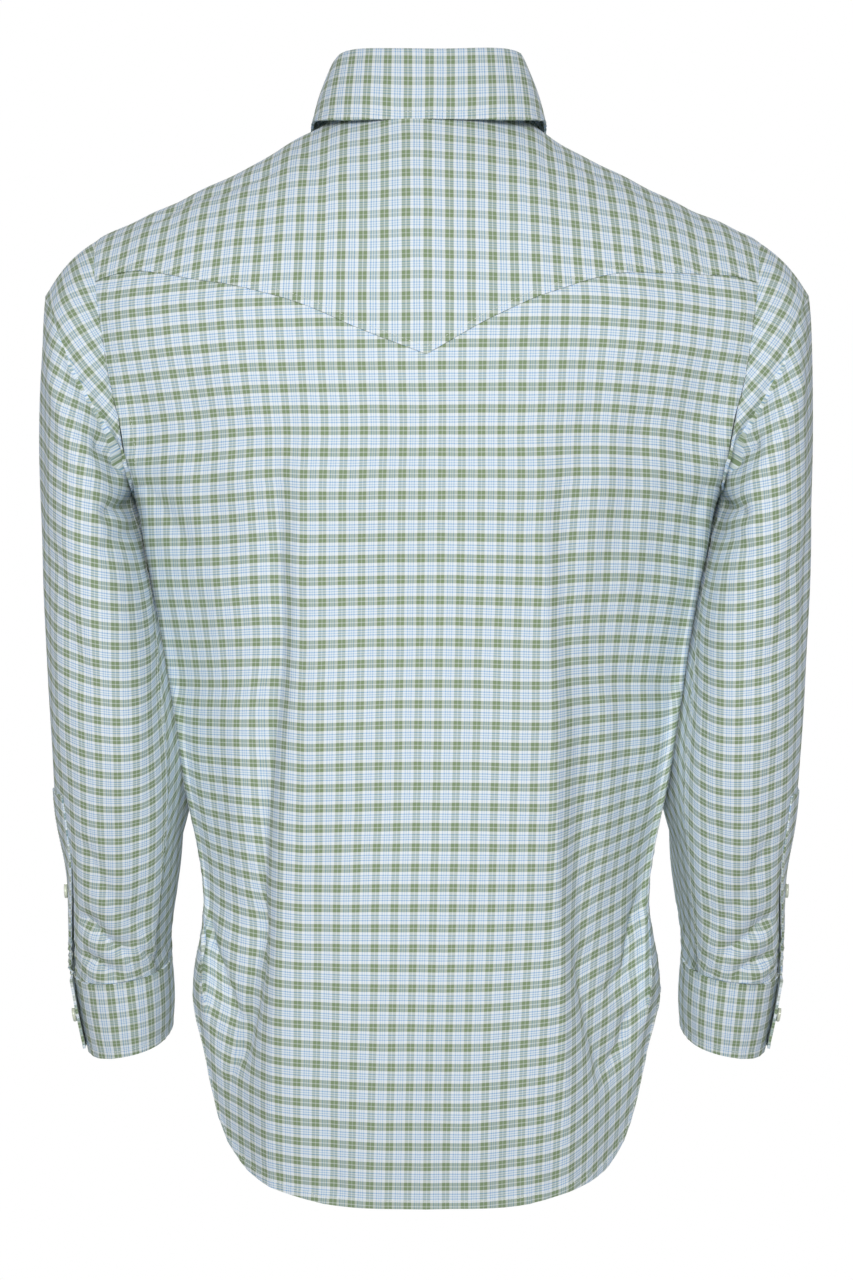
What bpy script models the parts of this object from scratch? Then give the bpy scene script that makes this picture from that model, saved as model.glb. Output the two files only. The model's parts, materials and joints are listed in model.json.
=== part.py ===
"""A man's long-sleeved woven shirt with a pointed back yoke, filled out as if worn with the arms down.

Metres, +Z up. The wearer faces -Y, so +X is the wearer's left. The origin is where the wearer holds
the shirt up: the middle of the neck, level with the shoulder-neck points. Every cloth piece is a thin
wall: a grid whose points lie on the garment's outer surface, and its copy one wall further in.
"""

import math

import bmesh
import bpy
import numpy as np
from mathutils import Vector

# --- Driving sizes -------------------------------------------------------------------------------
WALL = 0.0012  # thickness of every cloth wall
SEAM_GAP = 0.0003  # clear space between two pieces at a seam
NECK_HALF_WIDTH = 0.075
NECK_BACK = 0.062  # from the neck's middle to the neckline at the back
NECK_FRONT = 0.073
ARMPIT_Z = -0.268
BLEND_Z = -0.200  # below it the body is rings, above it profiles that run over the shoulder
SHOULDER_SLOPE = 0.465
SHOULDER_ROUNDING = 0.030
NECK_RISE = 0.020  # the cloth climbs this much towards the collar
NECK_RISE_WIDTH = 0.085
PLACKET_WIDTH = 0.035
BUTTON_RADIUS = 0.0056
BUTTON_HEIGHT = 0.0026
BUTTON_TAPER = 0.92  # the face's radius as a share of the back's
SLIT_TOP_Z = -0.520
SLIT_OPEN = 0.005  # how far the sleeve slit gapes at the cuff
CAP_PUFF = 0.004  # how far the sleeve head swells between the seam and the crease
SLIT_LIFT = 0.002
CUFF_OVERLAP = 14.0  # degrees that each cuff end runs past the slit
CUFF_END_LIFT = 0.0055  # how far the free cuff end stands off
STAND_BACK = 0.0425
STAND_FRONT = 0.032
STAND_SIDE_RISE = 0.008  # the folded edge stays level towards the sides, where the neckline falls
STAND_LEAN = 0.011  # how far the stand's upper edge leans in at the back and sides
STAND_FRONT_LEAN = 0.003
STAND_LAP = (0.84, 0.10)  # where the stand's inner end starts to dip under, and over how much, in half turns
FOLD_WIDTH = 0.0055  # the rolled fold between the stand and the leaf
FOLD_HEIGHT = 0.0035
FOLD_EDGE_HEIGHT = 0.0015
LEAF_BULGE = 0.0015
PLAID_GREEN = (0.52, 0.61, 0.55, 1.0)
BUTTON_CREAM = (0.80, 0.82, 0.72, 1.0)

# Grid counts of the faceted walls
NECK_COLUMNS = 4  # from the middle out to the neck point
OUTER_COLUMNS = 7  # from there to the side
BODY_ROWS = 11  # hem to armpit
ARM_ROWS = 4  # armpit to BLEND_Z
UPPER_BACK_ROWS = 3  # BLEND_Z to the yoke seam
YOKE_ROWS = 5
UPPER_FRONT_ROWS = 8  # BLEND_Z to the shoulder seam
CAP_ROWS = 3  # armhole to the sleeve's crease
SLIT_COLUMN = 1  # armhole points behind the shoulder point
SLEEVE_BUTTON_ROW = -4  # counted from the cuff
CUFF_COLUMNS = 25
RING_POINTS = 120  # points that each quarter ring is measured with
BUTTON_SIDES = 16

# Rings of the body below the shoulders. square is the exponent of the superellipse.
RINGS = {
    "z": [-0.840, -0.760, -0.700, -0.640, -0.577, -0.480, -0.380, -0.320, -0.268, -0.235, -0.200, -0.150],
    "half_width": [0.147, 0.160, 0.169, 0.1755, 0.168, 0.1845, 0.1995, 0.2105, 0.2215, 0.242, 0.256, 0.264],
    "back": [0.121, 0.119, 0.115, 0.110, 0.104, 0.101, 0.106, 0.112, 0.118, 0.121, 0.122, 0.119],
    "front": [0.129, 0.128, 0.127, 0.125, 0.124, 0.126, 0.129, 0.131, 0.131, 0.129, 0.126, 0.118],
    "square": [2.3, 2.3, 2.3, 2.3, 2.3, 2.3, 2.45, 2.65, 2.9, 2.6, 2.5, 2.5],
}
# The armhole seam's distance from the middle
ARMHOLE = {
    "z": [-0.268, -0.240, -0.219, -0.196, -0.168, -0.138, -0.110, -0.084],
    "x": [0.2215, 0.2242, 0.2270, 0.2330, 0.2385, 0.2430, 0.2470, 0.2490],
}
# Heights of the hem: share of the way from the middle of the back to the side seam, then on to the front edge
BACK_HEM = {
    "share": [0.000, 0.314, 0.418, 0.546, 0.626, 0.698, 0.740, 0.775, 0.812, 0.842, 0.913, 1.000],
    "z": [-0.7937, -0.7925, -0.7880, -0.7832, -0.7732, -0.7593]
    + [-0.7448, -0.7319, -0.7097, -0.6898, -0.6633, -0.6450],
}
FRONT_HEM = {
    "share": [0.00, 0.45, 0.65, 0.80, 0.92, 1.00],
    "z": [-0.779, -0.771, -0.748, -0.712, -0.665, -0.645],
}
# The yoke seam, by distance from the middle: level over the armholes, down to a point in the middle
YOKE_SEAM = {
    "x": [0.000, 0.050, 0.095, 0.140, 0.166, 0.210, 0.245],
    "left": [-0.1737, -0.1545, -0.1345, -0.1205, -0.1148, -0.1054, -0.113],
    "right": [-0.1737, -0.1455, -0.1255, -0.1115, -0.1100, -0.1085, -0.113],
}
# How rounded the profile from chest or back to the shoulder is, by distance from the middle
ROUNDING = {
    "x": [0.000, 0.080, 0.150, 0.260],
    "back": [2.05, 2.05, 2.05, 2.00],
    "front": [1.34, 1.62, 1.95, 2.00],
}
FOLD_END = 0.12  # a fold still has this share of a half wave left at each end
# The largest folds of the body: soft ridges (+) and troughs (-) between two points, back (+1) or front (-1)
FOLDS = [
    # side, x_top, z_top, x_low, z_low, half_width, height
    (+1, 0.104, -0.230, 0.116, -0.450, 0.024, -0.0055),
    (+1, 0.116, -0.400, 0.128, -0.650, 0.024, -0.0060),
    (+1, 0.128, -0.640, 0.146, -0.709, 0.016, -0.0045),
    (+1, 0.165, -0.590, 0.140, -0.665, 0.014, -0.0050),
    (+1, -0.092, -0.230, -0.108, -0.450, 0.024, -0.0055),
    (+1, -0.107, -0.400, -0.116, -0.640, 0.024, -0.0060),
    (+1, -0.116, -0.630, -0.142, -0.700, 0.016, -0.0045),
    (+1, -0.158, -0.580, -0.136, -0.655, 0.014, -0.0050),
    (+1, 0.070, -0.700, 0.064, -0.800, 0.012, -0.0030),
    (-1, 0.105, -0.330, 0.095, -0.700, 0.026, -0.0060),
    (-1, 0.062, -0.380, 0.066, -0.720, 0.022, +0.0040),
    (-1, -0.110, -0.310, -0.100, -0.690, 0.026, -0.0060),
    (-1, -0.066, -0.400, -0.060, -0.700, 0.022, +0.0040),
]
# Rings of a sleeve below its crease: outermost and innermost points, the middle's y, half the depth
# and how far the ring's plane leans forward (degrees)
SLEEVE = [
    # out_x, out_z, in_x, in_z, mid_y, half_depth, lean
    (0.2865, -0.122, 0.2235, -0.2725, 0.002, 0.076, 0.0),
    (0.2882, -0.146, 0.2225, -0.284, 0.003, 0.079, 0.0),
    (0.2893, -0.190, 0.2175, -0.300, 0.005, 0.081, 0.0),
    (0.2890, -0.245, 0.2125, -0.325, 0.008, 0.081, 0.0),
    (0.2880, -0.300, 0.2065, -0.352, 0.011, 0.080, 0.0),
    (0.2860, -0.355, 0.2005, -0.384, 0.013, 0.078, 2.0),
    (0.2838, -0.410, 0.1950, -0.425, 0.012, 0.074, 4.0),
    (0.2810, -0.462, 0.1890, -0.466, 0.007, 0.070, 7.0),
    (0.2780, -0.508, 0.1855, -0.508, -0.002, 0.065, 10.0),
    (0.2725, -0.549, 0.1872, -0.545, -0.013, 0.060, 12.0),
    (0.2707, -0.583, 0.1908, -0.578, -0.024, 0.056, 14.0),
    (0.2700, -0.613, 0.1945, -0.605, -0.034, 0.052, 15.0),
    (0.2690, -0.638, 0.1962, -0.629, -0.043, 0.0475, 15.0),
]
# The cuff's rings, in the same columns
CUFF = [
    (0.2690, -0.6384, 0.1962, -0.6294, -0.0431, 0.0475, 15.0),
    (0.2652, -0.668, 0.1950, -0.660, -0.0515, 0.0460, 15.0),
    (0.2600, -0.6985, 0.1965, -0.692, -0.0597, 0.0450, 15.0),
]
SLEEVE_SQUARE = 2.25
# How far the two cloths' normals agree at the armhole seam (cosine) where it folds back, and where it runs on
FOLDED_BACK, RUNS_ON = -0.2, 0.3
# The collar leaf's lower edge, by the turn round the neck from the middle of the back (degrees)
LEAF = {
    "turn": [0.0, 40.0, 65.0, 85.0, 105.0, 125.0, 148.0, 172.0],
    "x": [0.000, 0.0555, 0.0790, 0.0877, 0.0895, 0.0840, 0.0690, 0.0480],
    "y": [0.0720, 0.0610, 0.0405, 0.014, -0.026, -0.068, -0.091, -0.104],
    "z": [0.0024, 0.003, 0.005, 0.006, -0.001, -0.034, -0.067, -0.102],
}
LEAF_END = 172.0
UP = np.array([0.0, 0.0, 1.0])
BODY_MIDDLE = np.array([0.0, 0.0, -0.30])
BUTTON_HEIGHTS = [-0.105, -0.195, -0.285, -0.375, -0.465, -0.555, -0.645]


# --- Small tools ---------------------------------------------------------------------------------
def smooth(table, key, column, at):
    """A table's column read between its rows, along a curve that never overshoots them."""
    xs, ys = np.array(table[key], float), np.array(table[column], float)
    steps = np.diff(xs)
    slopes = np.diff(ys) / steps
    tangents = np.empty(len(xs))
    tangents[0], tangents[-1] = slopes[0], slopes[-1]
    weighted = (slopes[:-1] * steps[1:] + slopes[1:] * steps[:-1]) / (steps[1:] + steps[:-1])
    least = np.minimum(np.abs(slopes[:-1]), np.abs(slopes[1:]))
    sign = np.sign(slopes[:-1]) + np.sign(slopes[1:])
    tangents[1:-1] = sign * np.minimum(least, 0.5 * np.abs(weighted))
    at = np.clip(np.asarray(at, float), xs[0], xs[-1])
    k = np.clip(np.searchsorted(xs, at, side="right") - 1, 0, len(xs) - 2)
    t = (at - xs[k]) / steps[k]
    return (
        (2 * t**3 - 3 * t**2 + 1) * ys[k]
        + (t**3 - 2 * t**2 + t) * steps[k] * tangents[k]
        + (3 * t**2 - 2 * t**3) * ys[k + 1]
        + (t**3 - t**2) * steps[k] * tangents[k + 1]
    )


def unit(vectors):
    return vectors / np.maximum(np.linalg.norm(vectors, axis=-1, keepdims=True), 1e-12)


def power(base, exponent):
    return np.sign(base) * np.abs(base) ** exponent


def normals_of(grid, middle):
    """The unit normals of a grid of points, turned away from a middle point on the whole."""
    found = unit(np.cross(np.gradient(grid, axis=1), np.gradient(grid, axis=0)))
    return found * np.sign(np.sum(found * (grid - middle)))


def clear_scene():
    for thing in list(bpy.data.objects):
        bpy.data.objects.remove(thing)


def material(name, colour, roughness):
    made = bpy.data.materials.new(name)
    made.use_nodes = True
    shader = made.node_tree.nodes["Principled BSDF"]
    shader.inputs["Base Color"].default_value = colour
    shader.inputs["Roughness"].default_value = roughness
    shader.inputs["Metallic"].default_value = 0.0
    made.diffuse_color = colour
    return made


def cloth(name, outer, inner, finish, collection, joined_rows=0):
    """A wall of cloth between two grids of points. The first joined_rows rows close into a tube."""
    rows, columns = outer.shape[:2]
    mesh = bmesh.new()
    bmesh.ops.create_grid(mesh, x_segments=columns - 1, y_segments=rows - 1, size=0.5)
    place = mesh.verts.layers.int.new("place")
    for vertex in mesh.verts:
        column = round((vertex.co.x + 0.5) * (columns - 1))
        row = round((vertex.co.y + 0.5) * (rows - 1))
        vertex[place] = row * columns + column
        vertex.co = outer[row, column]
    if joined_rows:
        upper = [vertex for vertex in mesh.verts if vertex[place] < joined_rows * columns]
        ends = [vertex for vertex in upper if vertex[place] % columns in (0, columns - 1)]
        bmesh.ops.remove_doubles(mesh, verts=ends, dist=1e-5)
    made = bmesh.ops.extrude_face_region(mesh, geom=mesh.faces[:], use_keep_orig=True)
    inside = inner.reshape(-1, 3)
    for vertex in (item for item in made["geom"] if isinstance(item, bmesh.types.BMVert)):
        vertex.co = inside[vertex[place]]
    bmesh.ops.recalc_face_normals(mesh, faces=mesh.faces[:])
    data = bpy.data.meshes.new(name)
    mesh.to_mesh(data)
    mesh.free()
    data.materials.append(finish)
    data.shade_smooth()
    data.set_sharp_from_angle(angle=math.radians(60))
    piece = bpy.data.objects.new(name, data)
    collection.objects.link(piece)
    return piece


def pull_in(grid, side, gap):
    """Draws one edge of a grid back along the cloth by gap: side is top, bottom, first or last."""
    lines = {"top": (-1, -2), "bottom": (0, 1), "first": (0, 1), "last": (-1, -2)}
    edge, next_line = lines[side]
    turned = grid if side in ("top", "bottom") else grid.swapaxes(0, 1)
    turned[edge] += gap * unit(turned[next_line] - turned[edge])


# --- The body's surface --------------------------------------------------------------------------
def ridge_height(x):
    """Height of the shoulder seam at a distance from the middle."""
    rounded = np.sqrt(x**2 + SHOULDER_ROUNDING**2)
    at_neck = math.hypot(NECK_HALF_WIDTH, SHOULDER_ROUNDING)
    rise = NECK_RISE * np.exp(-((x / NECK_RISE_WIDTH) ** 2))
    return -SHOULDER_SLOPE * (rounded - at_neck) + rise


def ring_line(z, side):
    """Points (x, y) of a quarter of the ring at height z, from the middle to the side seam or the armhole."""
    half_width = smooth(RINGS, "z", "half_width", z)
    depth = smooth(RINGS, "z", side, z)
    square = smooth(RINGS, "z", "square", z)
    edge = min(half_width, float(smooth(ARMHOLE, "z", "x", z))) if z > ARMPIT_Z else half_width
    last = math.asin(min(1.0, (edge / half_width) ** (square / 2)))
    turn = np.linspace(0.0, last, RING_POINTS)
    facing = 1.0 if side == "back" else -1.0
    across, out = half_width * np.sin(turn) ** (2 / square), depth * np.cos(turn) ** (2 / square)
    return np.stack([across, facing * out], 1)


def spread(line, extra):
    """The columns' places on a ring: fixed distances out to the neck point, then even shares of the rest."""
    run = np.concatenate([[0], np.cumsum(np.linalg.norm(np.diff(line, axis=0), axis=1))])
    neck_run = np.interp(NECK_HALF_WIDTH, line[:, 0], run)
    near = list(extra) + [neck_run * k / NECK_COLUMNS for k in range(NECK_COLUMNS + 1)]
    far = [neck_run + (run[-1] - neck_run) * k / OUTER_COLUMNS for k in range(1, OUTER_COLUMNS + 1)]
    at = np.array(near + far)
    x = np.where(at < 0, at, np.interp(at, run, line[:, 0]))
    y = np.interp(np.abs(at), run, line[:, 1])
    return np.stack([x, y], 1)


def upper_point(base, column, angle, side):
    """A point of the profile from BLEND_Z over to the shoulder seam, where columns outside the neck point
    are evenly spaced. angle runs from 0 at BLEND_Z to a quarter turn at the seam."""
    square = float(smooth(ROUNDING, "x", side, abs(base[0])))
    lift = math.sin(angle) ** (2 / square)
    x = base[0]
    z = BLEND_Z + (float(ridge_height(x)) - BLEND_Z) * lift
    if column > 0:
        edge = float(smooth(ARMHOLE, "z", "x", BLEND_Z))
        share = (x - NECK_HALF_WIDTH) / (edge - NECK_HALF_WIDTH)
        share += (column / OUTER_COLUMNS - share) * math.sin(angle)
        x = NECK_HALF_WIDTH + share * (float(smooth(ARMHOLE, "z", "x", z)) - NECK_HALF_WIDTH)
        z = BLEND_Z + (float(ridge_height(x)) - BLEND_Z) * lift
    return np.array([x, base[1] * math.cos(angle) ** (2 / square), z])


def angle_at_height(base, z, side):
    square = float(smooth(ROUNDING, "x", side, abs(base[0])))
    share = (z - BLEND_Z) / (float(ridge_height(base[0])) - BLEND_Z)
    return math.asin(min(1.0, max(0.0, share)) ** (square / 2))


def top_angle(base, side):
    """Where a column ends: at the neckline, or a quarter turn up at the shoulder seam."""
    reach = {"back": NECK_BACK, "front": NECK_FRONT}[side]
    if abs(base[0]) >= NECK_HALF_WIDTH - 1e-6:
        return math.pi / 2
    square = float(smooth(ROUNDING, "x", side, abs(base[0])))
    y = reach * math.sqrt(1 - (base[0] / NECK_HALF_WIDTH) ** 2)
    return math.acos(min(1.0, y / abs(base[1])) ** (square / 2))


def half_body(side, hem, yoke, extra=()):
    """Half of the back or of a front as rows from hem to top, columns from the middle to the side."""
    count = len(extra) + 1 + NECK_COLUMNS + OUTER_COLUMNS
    level = spread(ring_line(BLEND_Z, side), extra)
    outside = np.arange(count) - (count - 1 - OUTER_COLUMNS)
    hems = smooth(hem, "share", "z", np.linspace(0, 1, count))
    rows = []
    for step in range(BODY_ROWS):
        heights = hems + (ARMPIT_Z - hems) * step / BODY_ROWS
        rings = [spread(ring_line(z, side), extra)[k] for k, z in enumerate(heights)]
        rows.append([[x, y, z] for (x, y), z in zip(rings, heights)])
    for step in range(ARM_ROWS):
        z = ARMPIT_Z + (BLEND_Z - ARMPIT_Z) * (step / ARM_ROWS) ** 2
        rows.append([[x, y, z] for x, y in spread(ring_line(z, side), extra)])
    seams = [0.0] * count
    if yoke:
        seams = [angle_at_height(b, float(smooth(YOKE_SEAM, "x", yoke, b[0])), side) for b in level]
        for step in range(UPPER_BACK_ROWS):
            share = step / UPPER_BACK_ROWS
            rows.append([upper_point(b, k, a * share, side) for b, k, a in zip(level, outside, seams)])
    last_rows = YOKE_ROWS if yoke else UPPER_FRONT_ROWS
    for step in range(last_rows + 1):
        turn = [a + (top_angle(b, side) - a) * step / last_rows for a, b in zip(seams, level)]
        rows.append([upper_point(b, k, a, side) for b, k, a in zip(level, outside, turn)])
    return np.array(rows, float)


def fold_height(points):
    """How far the folds move each point of the body out or in."""
    moved = np.zeros(points.shape[:-1])
    facing = np.sign(points[..., 1])
    for side, x_top, z_top, x_low, z_low, half_width, height in FOLDS:
        start, end = np.array([x_top, z_top]), np.array([x_low, z_low])
        flat = points[..., [0, 2]]
        along = np.clip(((flat - start) @ (end - start)) / np.sum((end - start) ** 2), 0, 1)
        apart = np.linalg.norm(flat - start - along[..., None] * (end - start), axis=-1)
        fade = np.sin(math.pi * (FOLD_END + (1 - 2 * FOLD_END) * along))
        moved += np.where(facing == side, height * fade * np.exp(-((apart / half_width) ** 2)), 0.0)
    return moved


def mirrored(grid):
    return grid * np.array([-1.0, 1.0, 1.0])


def body_grids():
    """The outer points and the normals of the back with its yoke, and of both fronts."""
    left_back, right_back = (half_body("back", BACK_HEM, name) for name in ("left", "right"))
    front = half_body("front", FRONT_HEM, None, extra=[-PLACKET_WIDTH / 2])
    grids = {
        "back": np.concatenate([mirrored(right_back)[:, :0:-1], left_back], axis=1),
        "left": front,
        "right": mirrored(front),
    }
    for grid in grids.values():
        grid += normals_of(grid, BODY_MIDDLE) * fold_height(grid)[..., None]
    normals = {name: normals_of(grid, BODY_MIDDLE) for name, grid in grids.items()}
    seam_rows = BODY_ROWS + 1
    shoulder = slice(-OUTER_COLUMNS - 1, None)
    for name, edge in (("left", -1), ("right", 0)):
        grids[name][:seam_rows, -1] = grids["back"][:seam_rows, edge]
        mean = unit(normals[name][:seam_rows, -1] + normals["back"][:seam_rows, edge])
        normals[name][:seam_rows, -1] = normals["back"][:seam_rows, edge] = mean
        across = normals["back"][-1] if name == "left" else normals["back"][-1, ::-1]
        mean = unit(normals[name][-1, shoulder] + across[shoulder])
        normals[name][-1, shoulder] = across[shoulder] = mean
    return grids, normals


def make_body(grids, normals, finish, collection):
    """Back, yoke, the two fronts and the front placket."""
    seam_row = BODY_ROWS + ARM_ROWS + UPPER_BACK_ROWS
    back, yoke = grids["back"][: seam_row + 1].copy(), grids["back"][seam_row:].copy()
    back_normals, yoke_normals = normals["back"][: seam_row + 1], normals["back"][seam_row:]
    for side in ("top", "first", "last"):
        pull_in(back, side, SEAM_GAP / 2)
    for side in ("top", "bottom", "first", "last"):
        pull_in(yoke, side, SEAM_GAP / 2)
    cloth("back", back, back - WALL * back_normals, finish, collection)
    cloth("back_yoke", yoke, yoke - WALL * yoke_normals, finish, collection)
    for name in ("left", "right"):
        front, front_normals = grids[name].copy(), normals[name]
        pull_in(front, "top", SEAM_GAP / 2)
        pull_in(front, "last", SEAM_GAP / 2)
        if name == "right":
            front -= front_normals * under_lap(front)[..., None]
        cloth("front_" + name, front, front - WALL * front_normals, finish, collection)
    band, band_normals = placket_points(grids["left"], normals["left"])
    low = band + SEAM_GAP * band_normals
    cloth("front_placket", low + WALL * band_normals, low, finish, collection)
    for number, height in enumerate(BUTTON_HEIGHTS, 1):
        row = np.interp(height, low[:, 1, 2], np.arange(len(low)))
        share, row = row % 1, int(row)
        point = low[row, 1] * (1 - share) + low[row + 1, 1] * share
        outwards = band_normals[row, 1]
        place_button(f"front_button_{number}", point + WALL * outwards, outwards, collection)


def under_lap(grid):
    """How far the right front's edge lies under the left's."""
    reach = np.clip(1 - (-grid[..., 0] - PLACKET_WIDTH * 0.6) / PLACKET_WIDTH, 0, 1)
    return (WALL + 2 * SEAM_GAP) * reach


def placket_points(front, front_normals):
    """The strip of the left front that the placket lies on: three columns, its own width."""
    edge, middle = front[:, 0], front[:, 1]
    width = np.abs(middle[:, 0] - edge[:, 0])[:, None]
    beyond = middle + (front[:, 2] - middle) * (width / np.abs(front[:, 2, :1] - middle[:, :1]))
    strip = np.stack([edge, middle, beyond], axis=1)
    strip_normals = np.stack([front_normals[:, 1]] * 3, axis=1)
    pull_in(strip, "top", 3 * SEAM_GAP)
    return strip, strip_normals


# --- The sleeves ---------------------------------------------------------------------------------
def armhole_places(side):
    """Where the armhole's points are in the body's grids, from the shoulder point down the back, under the
    arm and up the front, and how many steps that is to the armpit."""
    top_back = BODY_ROWS + ARM_ROWS + UPPER_BACK_ROWS + YOKE_ROWS
    top_front = BODY_ROWS + ARM_ROWS + UPPER_FRONT_ROWS
    back = [("back", row, -1 if side > 0 else 0) for row in range(top_back, BODY_ROWS - 1, -1)]
    front = [("left" if side > 0 else "right", row, -1) for row in range(BODY_ROWS + 1, top_front)]
    return back + front, len(back) - 1


def loop_turns(loop, bottom):
    """Each armhole point's turn round the sleeve: 0 on top, half a turn under the arm, by length."""
    closed = np.concatenate([loop, loop[:1]])
    run = np.concatenate([[0], np.cumsum(np.linalg.norm(np.diff(closed, axis=0), axis=1))])
    down, up = run[: bottom + 1] / run[bottom], (run[bottom:] - run[bottom]) / (run[-1] - run[bottom])
    return np.concatenate([math.pi * down, math.pi * (1 + up[1:-1])])


def sleeve_ring(row, turns):
    """Points of one ring of a sleeve or a cuff at the given turns: 0 outside, a quarter turn at the back."""
    out_x, out_z, in_x, in_z, mid_y, half_depth, lean = row
    middle = np.array([(out_x + in_x) / 2, mid_y, (out_z + in_z) / 2])
    outwards = np.array([(out_x - in_x) / 2, 0.0, (out_z - in_z) / 2])
    tilt = math.radians(lean)
    backwards = half_depth * np.array([0.0, math.cos(tilt), -math.sin(tilt)])
    shape = 2 / SLEEVE_SQUARE
    return (
        middle
        + power(np.cos(turns), shape)[:, None] * outwards
        + power(np.sin(turns), shape)[:, None] * backwards
    )


def sleeve_grid(loop, turns):
    """Rows of a sleeve from the armhole to the cuff, with the shoulder point's column first."""
    crease = sleeve_ring(SLEEVE[0], turns)
    rows = []
    for step in range(CAP_ROWS):
        share = step / CAP_ROWS
        mixed = loop + (crease - loop) * share
        rows.append(mixed + CAP_PUFF * math.sin(math.pi * share) * unit(mixed - mixed.mean(axis=0)))
    rows[0] = loop + 2 * SEAM_GAP * unit(crease - loop)
    rows += [sleeve_ring(row, turns) for row in SLEEVE]
    return np.array(rows)


def tube_normals(grid):
    """Normals of a tube whose columns go all the way round, away from its middle line."""
    closed = np.concatenate([grid[:, -1:], grid, grid[:, :1]], axis=1)
    found = unit(np.cross(np.gradient(closed, axis=1), np.gradient(closed, axis=0)))[:, 1:-1]
    away = np.sum(found * (grid - grid.mean(axis=1, keepdims=True)))
    return found * np.sign(away)


def open_slit(grid, grid_normals):
    """Parts the two edges of the slit below its top, more and more towards the cuff."""
    heights = grid[:, 0, 2]
    opened = np.clip((SLIT_TOP_Z - heights) / (SLIT_TOP_Z - heights[-1]), 0, 1)
    for edge, inner in ((0, 1), (-1, -2)):
        along = unit(grid[:, inner] - grid[:, edge])
        grid[:, edge] += along * (SLIT_OPEN / 2 * opened)[:, None]
    grid[:, -1] += grid_normals[:, -1] * (SLIT_LIFT * opened)[:, None]
    return int(np.sum(opened <= 0))


def join_at_armhole(body_normals, own_normals):
    """Normals for both sides of the armhole seam: shared where the cloth runs on, each its own where the
    seam folds back under the arm."""
    mean = unit(body_normals + own_normals)
    level = np.sum(body_normals * own_normals, axis=1, keepdims=True)
    shared = np.clip((level - FOLDED_BACK) / (RUNS_ON - FOLDED_BACK), 0, 1)
    reach = 1 / np.clip(np.sum(mean * own_normals, axis=1, keepdims=True), 0.7, 1)
    return [shared * mean * reach + (1 - shared) * n for n in (body_normals, own_normals)]


def sleeve_shapes(grids, normals):
    """Each sleeve's grid and normals, in the left sleeve's frame. The body's normals at the armholes are
    changed to agree with them."""
    shapes = {}
    for side in (1, -1):
        places, bottom = armhole_places(side)
        flip = np.array([side, 1.0, 1.0])
        loop = np.array([grids[name][row, column] for name, row, column in places]) * flip
        loop_normals = np.array([normals[name][row, column] for name, row, column in places]) * flip
        turns = loop_turns(loop, bottom)
        grid = sleeve_grid(loop, turns)
        grid_normals = tube_normals(grid)
        for_body, grid_normals[0] = join_at_armhole(loop_normals, grid_normals[0])
        for (name, row, column), normal in zip(places, for_body):
            normals[name][row, column] = normal * flip
        normals["left" if side > 0 else "right"][-1, -1] = for_body[0] * flip
        grid = np.roll(grid, -SLIT_COLUMN, axis=1)
        grid_normals = np.roll(grid_normals, -SLIT_COLUMN, axis=1)
        shapes[side] = (
            np.concatenate([grid, grid[:, :1]], axis=1),
            np.concatenate([grid_normals, grid_normals[:, :1]], axis=1),
            turns[SLIT_COLUMN],
        )
    return shapes


def make_sleeve(side, shape, finish, collection):
    """A sleeve, the placket beside its slit, and its cuff. side is +1 for the wearer's left."""
    name = "left" if side > 0 else "right"
    grid, grid_normals, slit_turn = shape
    joined = open_slit(grid, grid_normals)
    flip = np.array([side, 1.0, 1.0])
    cloth("sleeve_" + name, grid * flip, (grid - WALL * grid_normals) * flip, finish, collection, joined)
    low = grid[joined - 1 :, -3:] + SEAM_GAP * grid_normals[joined - 1 :, -3:]
    high = low + WALL * grid_normals[joined - 1 :, -3:]
    cloth("sleeve_placket_" + name, high * flip, low * flip, finish, collection)
    outwards = grid_normals[SLEEVE_BUTTON_ROW, -2]
    place_button("sleeve_button_" + name, high[SLEEVE_BUTTON_ROW, 1] * flip, outwards * flip, collection)
    make_cuff(name, slit_turn, flip, finish, collection)


def make_cuff(name, slit_turn, flip, finish, collection):
    """A band round the wrist. Its outer end starts behind the slit, and the inner end passes under it."""
    extra = math.radians(CUFF_OVERLAP)
    turns = np.linspace(slit_turn + extra, slit_turn - 2 * math.pi - extra, CUFF_COLUMNS)
    passed = np.abs(turns - turns[0])
    lap = 2 * extra
    lift = (WALL + 2 * SEAM_GAP) * np.clip((3 * lap - passed) / (2 * lap), 0, 1)
    lift = lift + CUFF_END_LIFT * np.clip(1 - passed / lap, 0, 1) ** 2
    rows = []
    for row in CUFF:
        ring = sleeve_ring(row, turns)
        middle = sleeve_ring(row, np.array([0, math.pi])).mean(axis=0)
        outwards = unit(ring - middle)
        rows.append(ring + outwards * lift[:, None])
    grid = np.array(rows)
    grid_normals = unit(np.cross(np.gradient(grid, axis=1), np.gradient(grid, axis=0)))
    grid_normals *= np.sign(np.sum(grid_normals * (grid - grid.mean(axis=1, keepdims=True))))
    cloth("cuff_" + name, grid * flip, (grid - WALL * grid_normals) * flip, finish, collection)
    place_button("cuff_button_" + name, grid[1, 1] * flip, grid_normals[1, 1] * flip, collection)


# --- The collar ----------------------------------------------------------------------------------
def neckline(grids):
    """The neckline from the left front's edge, round the back, to the right front's edge."""
    near = NECK_COLUMNS + 2
    left, right = grids["left"][-1, :near], grids["right"][-1, :near]
    middle = grids["back"].shape[1] // 2
    back = grids["back"][-1, middle - NECK_COLUMNS + 1 : middle + NECK_COLUMNS][::-1]
    return np.concatenate([left, back, right[::-1]])


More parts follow.
